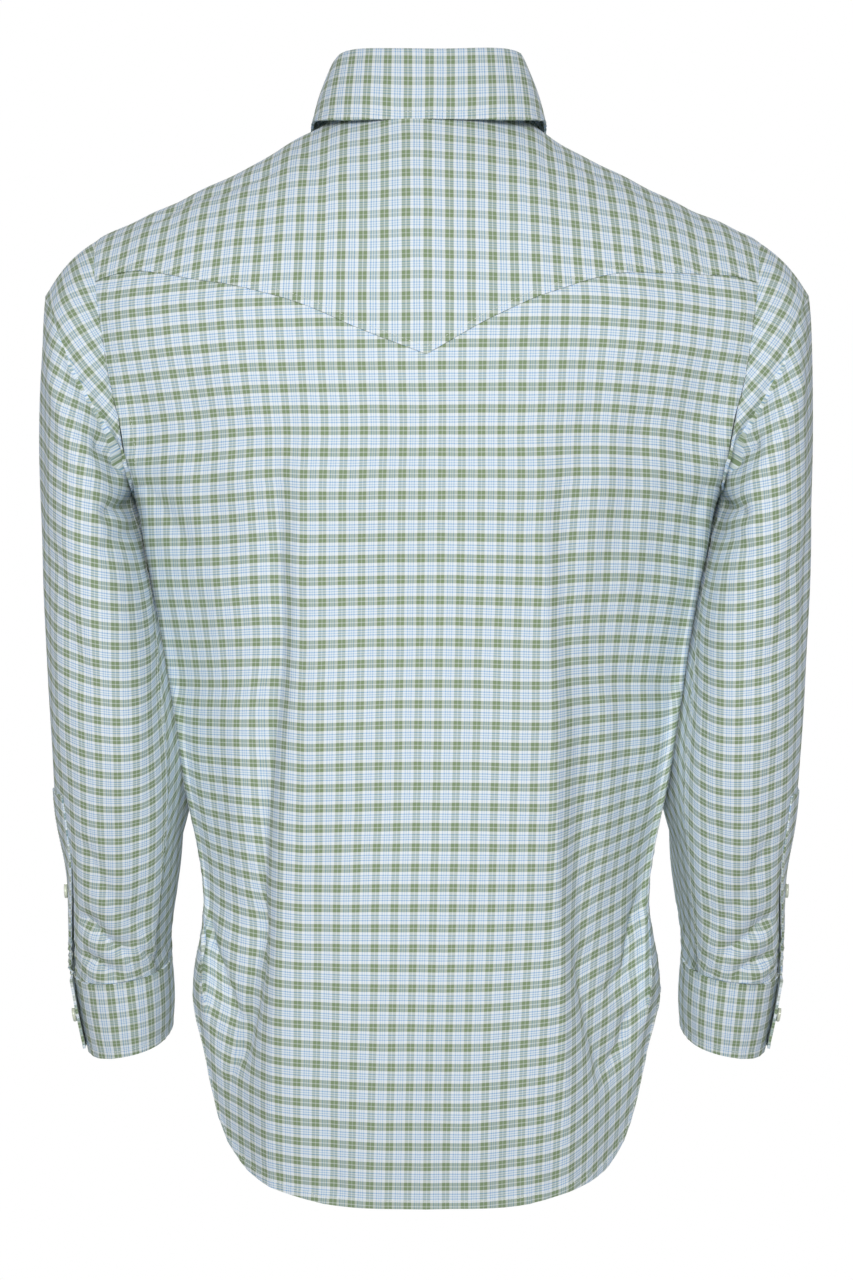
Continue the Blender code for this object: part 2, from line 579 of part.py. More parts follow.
def make_collar(grids, finish, collection):
    """The stand, a band round the neck that laps at the front, and the leaf that folds down over it."""
    low = neckline(grids)
    turns = np.unwrap(np.arctan2(low[:, 0] / NECK_HALF_WIDTH, low[:, 1] / NECK_BACK))
    turns = turns - turns[len(turns) // 2]
    turns = turns * np.sign(turns[0])
    radial = unit(low * np.array([1.0, 1.0, 0.0]))
    frontness = (1 - np.cos(turns)) / 2
    height = STAND_BACK + (STAND_FRONT - STAND_BACK) * frontness**1.5 + STAND_SIDE_RISE * np.sin(turns) ** 2
    lean = STAND_LEAN * (1 - frontness) + STAND_FRONT_LEAN * frontness
    tucked = (WALL + 2 * SEAM_GAP) * np.clip((-turns / math.pi - STAND_LAP[0]) / STAND_LAP[1], 0, 1)
    low = low - radial * tucked[:, None] + UP * 2 * SEAM_GAP
    top = low + UP * height[:, None] - radial * lean[:, None]
    grid = np.array([low + (top - low) * share for share in (0.0, 0.5, 1.0)])
    cloth("collar_stand", grid, grid - WALL * radial, finish, collection)
    place_button("collar_button", grid[1, 1], radial[1], collection)

    end = math.radians(LEAF_END)
    inside = np.concatenate([[end], turns[np.abs(turns) < end], [-end]])
    around = np.sort(np.concatenate([inside, (inside[1:] + inside[:-1]) / 2]))[::-1]
    order = np.argsort(turns)
    edge = np.stack([np.interp(around, turns[order], top[order, k]) for k in range(3)], axis=1)
    out = unit(edge * np.array([1.0, 1.0, 0.0]))
    at = np.degrees(np.abs(around))
    hem = np.stack([smooth(LEAF, "turn", axis, at) for axis in "xyz"], 1)
    hem[:, 0] *= np.sign(around)
    fold = edge + out * FOLD_WIDTH + UP * FOLD_EDGE_HEIGHT
    rows = [edge - out * WALL + UP * 2 * SEAM_GAP, edge + out * 0.3 * FOLD_WIDTH + UP * FOLD_HEIGHT]
    for share in (0.0, 0.3, 0.65, 1.0):
        rows.append(fold + (hem - fold) * share + out * LEAF_BULGE * math.sin(math.pi * share))
    leaf = np.array(rows)
    leaf_normals = unit(np.cross(np.gradient(leaf, axis=1), np.gradient(leaf, axis=0)))
    leaf_normals *= np.sign(np.sum(leaf_normals[-1] * out))
    leaf_normals[0] = -out
    cloth("collar_leaf", leaf, leaf - WALL * leaf_normals, finish, collection)


# --- Buttons -------------------------------------------------------------------------------------
def place_button(name, point, outwards, collection):
    """A flat round button that lies just off the cloth at a point."""
    mesh = bmesh.new()
    bmesh.ops.create_cone(
        mesh,
        cap_ends=True,
        segments=BUTTON_SIDES,
        radius1=BUTTON_RADIUS,
        radius2=BUTTON_RADIUS * BUTTON_TAPER,
        depth=BUTTON_HEIGHT,
    )
    data = bpy.data.meshes.new(name)
    mesh.to_mesh(data)
    mesh.free()
    data.materials.append(bpy.data.materials["button"])
    button = bpy.data.objects.new(name, data)
    button.rotation_mode = "QUATERNION"
    direction = Vector(outwards).normalized()
    button.rotation_quaternion = direction.to_track_quat("Z", "Y")
    button.location = Vector(point) + direction * (BUTTON_HEIGHT / 2 + 2 * SEAM_GAP)
    collection.objects.link(button)


def main():
    clear_scene()
    collection = bpy.data.collections.new("shirt")
    bpy.context.scene.collection.children.link(collection)
    finish = material("plaid_cloth", PLAID_GREEN, 0.85)
    material("button", BUTTON_CREAM, 0.35)
    grids, normals = body_grids()
    shapes = sleeve_shapes(grids, normals)
    make_body(grids, normals, finish, collection)
    for side, shape in shapes.items():
        make_sleeve(side, shape, finish, collection)
    make_collar(grids, finish, collection)


main()
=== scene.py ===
import json
import math

import bmesh
import bpy
import numpy as np
from mathutils import Matrix, Vector

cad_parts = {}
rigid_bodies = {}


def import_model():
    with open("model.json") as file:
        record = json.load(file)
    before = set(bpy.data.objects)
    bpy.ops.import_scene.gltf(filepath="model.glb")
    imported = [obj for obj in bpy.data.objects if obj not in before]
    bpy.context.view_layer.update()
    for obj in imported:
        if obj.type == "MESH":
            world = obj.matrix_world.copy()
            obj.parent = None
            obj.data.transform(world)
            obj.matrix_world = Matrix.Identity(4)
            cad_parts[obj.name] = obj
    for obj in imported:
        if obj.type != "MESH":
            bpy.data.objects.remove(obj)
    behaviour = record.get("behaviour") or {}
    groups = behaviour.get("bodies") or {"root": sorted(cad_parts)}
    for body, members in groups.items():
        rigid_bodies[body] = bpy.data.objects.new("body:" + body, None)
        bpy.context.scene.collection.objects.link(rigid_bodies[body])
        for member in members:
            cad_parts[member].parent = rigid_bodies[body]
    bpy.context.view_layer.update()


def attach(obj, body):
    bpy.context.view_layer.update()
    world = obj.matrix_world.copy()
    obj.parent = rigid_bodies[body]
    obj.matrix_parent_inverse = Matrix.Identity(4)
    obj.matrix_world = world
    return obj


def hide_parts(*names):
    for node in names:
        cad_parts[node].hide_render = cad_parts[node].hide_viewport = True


for leftover in list(bpy.data.objects):
    bpy.data.objects.remove(leftover)
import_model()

# --- The plaid ---
# Light cotton poplin, yarn-dyed in sage green, sky blue and white. Both sets of threads follow one chart,
# and the filling covers more of the face than the warp, so its stripes look stronger.
WARP_REPEAT, WEFT_REPEAT = 0.01435, 0.01531
WEFT_SHARE = 0.60
THREAD_PITCH = 0.00046
CRUMPLE_DEPTH, WEAVE_DEPTH, SLUB_DEPTH = 0.0011, 0.00002, 0.00005
WHITE, GREEN, HAIRLINE = (0.84, 0.895, 0.925), (0.235, 0.315, 0.185), (0.60, 0.67, 0.62)
BLUE, PALE_BLUE, SLUB_GREY = (0.27, 0.47, 0.73), (0.42, 0.60, 0.80), (0.70, 0.72, 0.74)
CHART = [  # where each stripe starts, as a share of the repeat
    (0.00, GREEN), (0.165, HAIRLINE), (0.215, GREEN), (0.39, WHITE), (0.55, BLUE),
    (0.605, WHITE), (0.67, PALE_BLUE), (0.725, WHITE), (0.79, BLUE), (0.85, WHITE),
]


class Socket:
    """A socket that takes part in sums: each operator adds its Math node."""

    def __init__(self, finish, socket):
        self.finish, self.socket = finish, socket

    def sum_with(self, operation, first, second=0.0):
        return self.finish.node("Math", {"operation": operation}, {0: first, 1: second})

    def __add__(self, other):
        return self.sum_with("ADD", self, other)

    def __sub__(self, other):
        return self.sum_with("SUBTRACT", self, other)

    def __rsub__(self, other):
        return self.sum_with("SUBTRACT", other, self)

    def __mul__(self, other):
        return self.sum_with("MULTIPLY", self, other)

    def __truediv__(self, other):
        return self.sum_with("DIVIDE", self, other)

    __radd__, __rmul__ = __add__, __mul__

    def fraction(self):
        return self.sum_with("FRACT", self)

    def sine(self):
        return self.sum_with("SINE", self)


class Finish:
    """A material. node() makes any node: its settings first, then its sockets' values or links."""

    def __init__(self, name):
        self.material = bpy.data.materials.new(name)
        self.material.use_nodes = True
        self.tree = self.material.node_tree
        self.shader = self.tree.nodes["Principled BSDF"]

    def put(self, slot, value):
        if isinstance(value, Socket):
            self.tree.links.new(value.socket, slot)
        elif slot.type == "RGBA" and len(value) == 3:
            slot.default_value = (*value, 1.0)
        else:
            slot.default_value = value

    def node(self, kind, settings, values, output=0):
        made = self.tree.nodes.new("ShaderNode" + kind)
        for key, value in settings.items():
            if key == "stops":
                made.color_ramp.interpolation = "CONSTANT"
                while len(made.color_ramp.elements) < len(value):
                    made.color_ramp.elements.new(0.5)
                for element, (place, colour) in zip(made.color_ramp.elements, value):
                    element.position, element.color = place, (*colour, 1.0)
            else:
                setattr(made, key, value)
        for key, value in values.items():
            self.put(made.inputs[key], value)
        return Socket(self, made.outputs[output])

    def surface(self, **values):
        for key, value in values.items():
            self.put(self.shader.inputs[key.replace("_", " ")], value)


def mix(finish, share, first, second, blend="MIX"):
    return finish.node("Mix", {"data_type": "RGBA", "blend_type": blend}, {0: share, 6: first, 7: second}, 2)


plaid = Finish("plaid_poplin")
laid = plaid.node("UVMap", {"uv_map": "cloth"}, {})
across = plaid.node("SeparateXYZ", {}, {0: laid})
along = Socket(plaid, across.socket.node.outputs[1])
wander = plaid.node("TexNoise", {"noise_dimensions": "3D"}, {"Vector": laid, "Scale": 30.0, "Detail": 2.0}) - 0.5
warp_place = (across / WARP_REPEAT + wander * 0.05 + 100.0).fraction()
weft_place = (along / WEFT_REPEAT + wander * 0.05 + 100.0).fraction()
warp_colour = plaid.node("ValToRGB", {"stops": CHART}, {0: warp_place})
weft_colour = plaid.node("ValToRGB", {"stops": CHART}, {0: weft_place})
yarns = []
for scales in ((2600.0, 90.0, 1.0), (90.0, 2600.0, 1.0)):
    stretched = plaid.node("VectorMath", {"operation": "MULTIPLY"}, {0: laid, 1: scales})
    yarns.append(plaid.node("TexNoise", {}, {"Vector": stretched, "Scale": 1.0, "Detail": 1.0}))
slub = (yarns[0] + yarns[1]) * 0.5
cloth_colour = mix(plaid, WEFT_SHARE, warp_colour, weft_colour)
cloth_colour = mix(plaid, slub * 0.30 - 0.08, cloth_colour, SLUB_GREY, "MULTIPLY")
weave = (across * (2 * math.pi / THREAD_PITCH)).sine() * (along * (2 * math.pi / THREAD_PITCH)).sine()
body_place = plaid.node("TexCoord", {}, {}, 3)
crumple = plaid.node("TexNoise", {}, {"Vector": body_place, "Scale": 26.0, "Detail": 3.0, "Roughness": 0.55})
relief = crumple * CRUMPLE_DEPTH + weave * WEAVE_DEPTH + slub * SLUB_DEPTH
bumped = plaid.node("Bump", {}, {"Strength": 1.0, "Distance": 1.0, "Height": relief})
plaid.surface(Base_Color=cloth_colour, Roughness=0.86, Normal=bumped)
plaid.surface(Specular_IOR_Level=0.25, Sheen_Weight=0.08, Sheen_Roughness=0.5)

# --- The body's form ---
# The back and the fronts are one surface: rings from the hem up to the shoulder blades, and from there profiles
# that run over the shoulders to the seam, closed in by the armholes and the neckline.
NECK_HALF_WIDTH, NECK_BACK, NECK_FRONT = 0.075, 0.062, 0.073
ARMPIT_Z, BLEND_Z = -0.268, -0.200
NECK_COLUMNS, OUTER_COLUMNS = 20, 56
BODY_ROWS, ARM_ROWS, UPPER_BACK_ROWS, YOKE_ROWS = 118, 16, 20, 36
SHOULDER_SLOPE, SHOULDER_ROUND = 0.465, 0.03
COLLAR_RISE, COLLAR_RISE_REACH = 0.020, 0.085  # the shoulder's last climb, beside the collar
LOWEST_Z, LEVELS = -0.85, 420  # the form is worked out at so many levels from here up to BLEND_Z
HEM_ROWS = np.array([0.0, 0.0016, 0.0100, 0.0122])  # the hem's own rows, as shares of the way up to the armpit
RINGS = {
    "z": [-0.840, -0.760, -0.700, -0.640, -0.577, -0.480, -0.380, -0.320, -0.268, -0.235, -0.200, -0.150],
    "half_width": [0.147, 0.160, 0.169, 0.1755, 0.168, 0.1845, 0.1995, 0.2105, 0.2215, 0.242, 0.256, 0.264],
    "back": [0.121, 0.119, 0.115, 0.110, 0.104, 0.101, 0.106, 0.112, 0.118, 0.121, 0.122, 0.119],
    "front": [0.129, 0.128, 0.127, 0.125, 0.124, 0.126, 0.129, 0.131, 0.131, 0.129, 0.126, 0.118],
    "square": [2.3, 2.3, 2.3, 2.3, 2.3, 2.3, 2.45, 2.65, 2.9, 2.6, 2.5, 2.5],
}
ARMHOLE = {
    "z": [-0.268, -0.240, -0.219, -0.196, -0.168, -0.138, -0.110, -0.084],
    "x": [0.2215, 0.2242, 0.2270, 0.2330, 0.2385, 0.2430, 0.2470, 0.2490],
}
BACK_HEM = {
    "share": [0.00, 0.18, 0.31, 0.40, 0.48, 0.55, 0.61, 0.67, 0.71, 0.74, 0.775, 0.812, 0.842, 0.913, 1.00],
    "z": [
        -0.7937, -0.7932, -0.7893, -0.7856, -0.7815, -0.7768, -0.7714, -0.7615,
        -0.754, -0.7448, -0.7319, -0.7097, -0.690, -0.6633, -0.645,
    ],
}
FRONT_HEM = {"share": [0.00, 0.45, 0.65, 0.80, 0.92, 1.00], "z": [-0.779, -0.771, -0.748, -0.712, -0.665, -0.645]}
YOKE_SEAM = {
    "x": [0.000, 0.050, 0.095, 0.140, 0.166, 0.210, 0.245],
    "left": [-0.1737, -0.1545, -0.1345, -0.1205, -0.1148, -0.1054, -0.113],
    "right": [-0.1737, -0.1455, -0.1255, -0.1115, -0.1100, -0.1085, -0.113],
}
ROUNDING = {"x": [0.000, 0.080, 0.150, 0.260], "back": [2.05, 2.05, 2.05, 2.00], "front": [1.34, 1.62, 1.95, 2.00]}


def smooth(table, key, column, at):
    """A table's column read between its rows, along a curve that never overshoots them."""
    xs, ys = np.array(table[key], float), np.array(table[column], float)
    steps = np.diff(xs)
    slopes = np.diff(ys) / steps
    tangents = np.concatenate([slopes[:1], np.zeros(len(xs) - 2), slopes[-1:]])
    weighted = (slopes[:-1] * steps[1:] + slopes[1:] * steps[:-1]) / (steps[1:] + steps[:-1])
    least = np.minimum(np.abs(slopes[:-1]), np.abs(slopes[1:]))
    tangents[1:-1] = (np.sign(slopes[:-1]) + np.sign(slopes[1:])) * np.minimum(least, 0.5 * np.abs(weighted))
    at = np.clip(np.asarray(at, float), xs[0], xs[-1])
    k = np.clip(np.searchsorted(xs, at, side="right") - 1, 0, len(xs) - 2)
    t = (at - xs[k]) / steps[k]
    rise = (2 * t**3 - 3 * t**2 + 1) * ys[k] + (3 * t**2 - 2 * t**3) * ys[k + 1]
    return rise + steps[k] * ((t**3 - 2 * t**2 + t) * tangents[k] + (t**3 - t**2) * tangents[k + 1])


def swell(off, width):
    """1 on a line, fading to nothing on both sides of it."""
    return np.exp(-((off / width) ** 2))


def ridge_height(x):
    """Height of the shoulder seam, which climbs towards the collar."""
    out = np.sqrt(x**2 + SHOULDER_ROUND**2) - math.hypot(NECK_HALF_WIDTH, SHOULDER_ROUND)
    return -SHOULDER_SLOPE * out + COLLAR_RISE * swell(x, COLLAR_RISE_REACH)


def ring_line(z, side, extra):
    """One row of the body from the middle out to the side seam or armhole at height z."""
    half_width, depth, square = (float(smooth(RINGS, "z", c, z)) for c in ("half_width", side, "square"))
    edge = min(half_width, float(smooth(ARMHOLE, "z", "x", z))) if z > ARMPIT_Z else half_width
    turn = np.linspace(0.0, math.asin(min(1.0, (edge / half_width) ** (square / 2))), 160)
    x, y = half_width * np.sin(turn) ** (2 / square), depth * np.cos(turn) ** (2 / square)
    run = np.concatenate([[0], np.cumsum(np.hypot(np.diff(x), np.diff(y)))])
    neck_run = np.interp(NECK_HALF_WIDTH, x, run)
    near = neck_run * np.arange(NECK_COLUMNS + 1) / NECK_COLUMNS
    far = neck_run + (run[-1] - neck_run) * np.arange(1, OUTER_COLUMNS + 1) / OUTER_COLUMNS
    at = np.concatenate([extra, near, far])
    x_at = np.where(at < 0, at, np.interp(at, run, x))
    return np.stack([x_at, (1 if side == "back" else -1) * np.interp(np.abs(at), run, y)], 1)


def upper_part(base, outside, angle, side):
    """Profiles from BLEND_Z over to the shoulder seam: angle 0 at BLEND_Z and a quarter turn at the seam."""
    bend = 2 / smooth(ROUNDING, "x", side, np.abs(base[:, 0]))
    lift = np.sin(angle) ** bend
    x = base[:, 0] + 0 * angle
    z = BLEND_Z + (ridge_height(x) - BLEND_Z) * lift
    share = (x - NECK_HALF_WIDTH) / (float(smooth(ARMHOLE, "z", "x", BLEND_Z)) - NECK_HALF_WIDTH)
    share = share + (outside / OUTER_COLUMNS - share) * np.sin(angle)
    slid = NECK_HALF_WIDTH + share * (smooth(ARMHOLE, "z", "x", z) - NECK_HALF_WIDTH)
    x = np.where(outside > 0, slid, x)
    z = BLEND_Z + (ridge_height(x) - BLEND_Z) * lift
    return np.stack([x, base[:, 1] * np.cos(angle) ** bend, z], -1)


def half_body(side, hem, yoke, extra=()):
    """Half of the back or of a front: rows from hem to top, columns from the middle to the side. yoke names the
    yoke seam's side, if there is one, and extra gives the places of more columns past the middle."""
    levels = np.linspace(LOWEST_Z, BLEND_Z, LEVELS)
    lines = np.array([ring_line(z, side, extra) for z in levels])
    count = lines.shape[1]
    hems = smooth(hem, "share", "z", np.linspace(0, 1, count))
    steps = np.concatenate([HEM_ROWS, np.linspace(0.0125, 1, BODY_ROWS - 2)[1:-1]])
    heights = hems + (ARMPIT_Z - hems) * steps[:, None]
    arm = ARMPIT_Z + (BLEND_Z - ARMPIT_Z) * (np.arange(ARM_ROWS + 1) / ARM_ROWS) ** 2
    heights = np.concatenate([heights, np.repeat(arm[:, None], count, axis=1)])
    rows = [np.stack([np.interp(heights[:, c], levels, lines[:, c, k]) for c in range(count)], 1) for k in (0, 1)]
    low = np.stack([*rows, heights], axis=-1)
    base = lines[-1]
    outside = np.arange(count) - (count - 1 - OUTER_COLUMNS)
    reach = NECK_BACK if side == "back" else NECK_FRONT
    bend = smooth(ROUNDING, "x", side, np.abs(base[:, 0])) / 2
    inside = np.clip(1 - (base[:, 0] / NECK_HALF_WIDTH) ** 2, 0, 1)
    top = np.arccos(np.clip(reach * np.sqrt(inside) / np.abs(base[:, 1]), 0, 1) ** bend)
    seam = np.zeros(count)
    counts = [UPPER_BACK_ROWS + YOKE_ROWS]
    if yoke:
        share = (smooth(YOKE_SEAM, "x", yoke, base[:, 0]) - BLEND_Z) / (ridge_height(base[:, 0]) - BLEND_Z)
        seam = np.arcsin(np.clip(share, 0, 1) ** bend)
        counts = [UPPER_BACK_ROWS, YOKE_ROWS]
    angles = []
    for part, start, end in zip(counts[::-1], (seam, 0 * seam), (top, seam)):
        angles.insert(0, start + (end - start) * (np.arange(1, part + 1) / part)[:, None])
    return np.concatenate([low, upper_part(base, outside, np.concatenate(angles), side)])


def mirrored(grid):
    return grid * np.array([-1.0, 1.0, 1.0])


left_half, right_half = (half_body("back", BACK_HEM, name) for name in ("left", "right"))
whole_back = np.concatenate([mirrored(right_half)[:, :0:-1], left_half], axis=1)
PLACKET_WIDTH, PLACKET_COLUMNS = 0.035, 7
lap = -PLACKET_WIDTH / 2 * (1 - np.arange(PLACKET_COLUMNS) / PLACKET_COLUMNS)
left_front = half_body("front", FRONT_HEM, None, extra=lap)

# --- The back ---
# One panel of the plaid from hem to yoke, cut with the strong stripes level. It is felled to the yoke and to the
# fronts, and its curved hem is turned up twice and topstitched.
CLOTH = 0.0005  # thickness of the panels
HEM_WIDTH, HEM_STEP = 0.0062, 0.0008
FOLD_FADES, FOLD_END = 0.22, 0.12  # a fold fades over this share of its length, down to this share of its height
CREASE_REACH = 0.008  # how far from a hip crease the check comes loose from its neighbours
BACK_DRAPE, FRONT_DRAPE, DRAPE_WIDTH, DRAPE_LENGTH = 0.0007, 0.0008, 0.055, 0.30
SEAM_ROW = BODY_ROWS + ARM_ROWS + UPPER_BACK_ROWS
BELOW_SEAM, ABOVE_SEAM = slice(0, SEAM_ROW + 1), slice(SEAM_ROW, None)
MIDDLE_COLUMN = NECK_COLUMNS + OUTER_COLUMNS
BODY_MIDDLE = np.array([0.0, 0.0, -0.30])
UP, LEVEL = np.array([0.0, 0.0, 1.0]), np.array([1.0, 1.0, 0.0])


def unit(vectors):
    return vectors / np.maximum(np.linalg.norm(vectors, axis=-1, keepdims=True), 1e-12)


def run_of(line):
    """Distance along a line of places from its first one."""
    return np.concatenate([[0], np.cumsum(np.linalg.norm(np.diff(line, axis=0), axis=-1))])


def edge_runs(grid):
    """Distance along each column from the lowest row, and along each row from the first column."""
    down = np.linalg.norm(np.diff(grid, axis=0), axis=-1)
    across = np.linalg.norm(np.diff(grid, axis=1), axis=-1)
    return np.pad(np.cumsum(down, axis=0), ((1, 0), (0, 0))), np.pad(np.cumsum(across, axis=1), ((0, 0), (1, 0)))


def nearer_side(across):
    """Distance from the nearer end of each row."""
    return np.minimum(across, across[:, -1:] - across)


def close_edged(first, second, count):
    """Shares from 0 to 1 for rows or columns that stand closer at both edges."""
    return np.concatenate([[0, first], np.linspace(second, 1 - second, count), [1 - first, 1]])


def grid_normals(grid, away_from):
    found = unit(np.cross(np.gradient(grid, axis=1), np.gradient(grid, axis=0)))
    return found * np.sign(np.sum(found * (grid - away_from)))


def fit_steps(down, across, weight_down, weight_across):
    """Heights over a grid whose steps down and across come as near as can be to the given ones."""
    found = np.concatenate([np.zeros((1, down.shape[1])), np.cumsum(down, axis=0)])
    middle = found.shape[0] // 2
    found += np.concatenate([[0], np.cumsum(across[middle])]) - found[middle]

    def gather(steps_down, steps_across):
        total = np.zeros_like(found)
        total[1:] += steps_down
        total[:-1] -= steps_down
        total[:, 1:] += steps_across
        total[:, :-1] -= steps_across
        return total

    def spring(heights):
        return gather(weight_down * np.diff(heights, axis=0), weight_across * np.diff(heights, axis=1))

    diagonal = np.zeros_like(found)
    for part in (slice(1, None), slice(None, -1)):
        diagonal[part] += weight_down
    for part in (slice(1, None), slice(None, -1)):
        diagonal[:, part] += weight_across
    rest = gather(weight_down * down, weight_across * across) - spring(found)
    eased = rest / diagonal
    heading, level = eased.copy(), np.sum(rest * eased)
    for _ in range(500):
        pulled = spring(heading)
        share = level / max(np.sum(heading * pulled), 1e-30)
        found += share * heading
        rest -= share * pulled
        eased = rest / diagonal
        before, level = level, np.sum(rest * eased)
        if level < 1e-12:
            break
        heading = eased + level / before * heading
    return found


def lay_flat(grid, normals, guide, climb, lean, snug=(1.0, 1.0), hold=1.0):
    """Places on the flat cloth (across, along), in metres. The warp follows the guide directions in the surface.
    climb and lean are radians by which the filling and the warp turn from there, anticlockwise with the columns.
    snug is how much more cloth lies on each way, and hold how firmly each place keeps to all this."""
    warp = unit(guide - normals * np.sum(guide * normals, -1, keepdims=True))
    weft = np.cross(warp, normals)
    weft *= np.sign(np.sum(weft[:, 1:] * np.diff(grid, axis=1)))
    plain, ones = 0 * weft, np.ones(grid.shape[:2])
    climb, lean = climb[..., None] + plain, lean[..., None] + plain
    closed = np.cos(climb - lean)
    ways = (
        (ones * snug[0])[..., None] * (np.cos(lean) * weft + np.sin(lean) * warp) / closed,
        (ones * snug[1])[..., None] * (np.cos(climb) * warp - np.sin(climb) * weft) / closed,
    )
    hold = ones * hold
    down, across = np.diff(grid, axis=0), np.diff(grid, axis=1)
    long_down, long_across = (np.linalg.norm(step, axis=-1) + 1e-5 for step in (down, across))
    weights = (
        np.minimum(hold[1:], hold[:-1]) * long_across[:, :-1].mean() / long_down,
        np.minimum(hold[:, 1:], hold[:, :-1]) * long_down.mean() / long_across,
    )
    flat = []
    for way in ways:
        steps_down = np.sum(down * (way[1:] + way[:-1]) / 2, -1)
        flat.append(fit_steps(steps_down, np.sum(across * (way[:, 1:] + way[:, :-1]) / 2, -1), *weights))
    return np.stack(flat, -1)


def fold_relief(grid, normals, flat, folds, facing):
    """Height of the folds over a grid. Each is (places, width before, width after, height, sharpness): a line
    through (x, z) places, on the side that faces back (+1) or front (-1). The first width lies on the line's
    left as it is drawn on the cloth, and a negative height is a trough."""
    relief = np.zeros(grid.shape[:2])
    shown = np.where(np.sign(normals[..., 1]) == facing, 0.0, 1.0)
    for places, before, after, height, sharpness in folds:
        line = []
        for x, z in places:
            apart = (grid[..., 0] - x) ** 2 + (grid[..., 2] - z) ** 2 + shown
            line.append(flat[np.unravel_index(np.argmin(apart), apart.shape)])
        line = np.array(line)
        run = run_of(line)
        nearest, at, side = np.full(relief.shape, 9.0), np.zeros(relief.shape), np.zeros(relief.shape)
        for start, end, passed in zip(line[:-1], line[1:], run):
            long = np.linalg.norm(end - start)
            ahead = (end - start) / max(long, 1e-9)
            share = np.clip((flat - start) @ ahead, 0, long)
            off = flat - start - share[..., None] * ahead
            apart = np.linalg.norm(off, axis=-1)
            closer = apart < nearest
            nearest = np.where(closer, apart, nearest)
            at = np.where(closer, (passed + share) / run[-1], at)
            side = np.where(closer, ahead[0] * off[..., 1] - ahead[1] * off[..., 0], side)
        width = np.where(side > 0, before, after)
        fade = np.clip(np.minimum(at, 1 - at) / FOLD_FADES, 0, 1)
        fade = FOLD_END + (1 - FOLD_END) * fade * fade * (3 - 2 * fade)
        relief += height * fade * np.exp(-((nearest / width) ** sharpness))
    return relief


def puckers(run, spacing, seed):
    """An uneven ripple along a seam, from -1 to 1."""
    chance = np.random.default_rng(seed)
    found = 0 * run
    for share in (0.6, 0.85, 1.0, 1.35, 2.1):
        rise = 0.5 + 0.5 * np.sin(run * 2 * math.pi / (spacing * 7 * share) + chance.uniform(0, 6.28))
        found = found + rise * np.sin(run * 2 * math.pi / (spacing * share) + chance.uniform(0, 6.28))
    return found / 2.5


def drape(flat, seed, spacing, lengthways):
    """Faint unevenness of hanging cloth, about 1 high: waves that run mostly down the piece."""
    chance = np.random.default_rng(seed)
    found = np.zeros(flat.shape[:2])
    for _ in range(14):
        across = 2 * math.pi / (spacing * chance.uniform(0.6, 2.0))
        along = 2 * math.pi / (lengthways * chance.uniform(0.7, 2.5)) * chance.choice([-1, 1])
        found += np.sin(flat[..., 0] * across + flat[..., 1] * along + chance.uniform(0, 6.28))
    return found / 4.0


def sewn_in(off, run, seed, ditch, ripple, at=0.0):
    """What a line of stitches does to the cloth about it: a ditch (depth, width) at a distance from the edge, and
    puckers (height, spacing, reach) along the edge."""
    sunk = -ditch[0] * swell(off - at, ditch[1])
    return sunk + ripple[0] * puckers(run, ripple[1], seed) * swell(off, ripple[2])


def panel_seams(grid, normals, from_sides, side_run, seed):
    """A panel with its hem doubled and its seams sewn: hem in the first row, yoke seam in the last."""
    down, across = edge_runs(grid)
    hem = CLOTH * np.clip((HEM_WIDTH - down) / HEM_STEP, 0, 1)
    hem = hem + 0.0005 * puckers(across, 0.011, seed) * swell(down - 0.005, 0.008)
    top = sewn_in(down[-1] - down, across, seed + 1, (0.0004, 0.0025), (0.0004, 0.010, 0.010))
    sides = sewn_in(from_sides, side_run, seed + 2, (0.0004, 0.0028), (0.0007, 0.012, 0.011))
    return grid + normals * (hem + top + sides)[..., None]


def corner_places(flat):
    return np.stack([flat[:-1, :-1], flat[:-1, 1:], flat[1:, 1:], flat[1:, :-1]], axis=2)


def put_in_scene(name, data):
    thing = bpy.data.objects.new(name, data)
    bpy.context.scene.collection.objects.link(thing)
    return thing


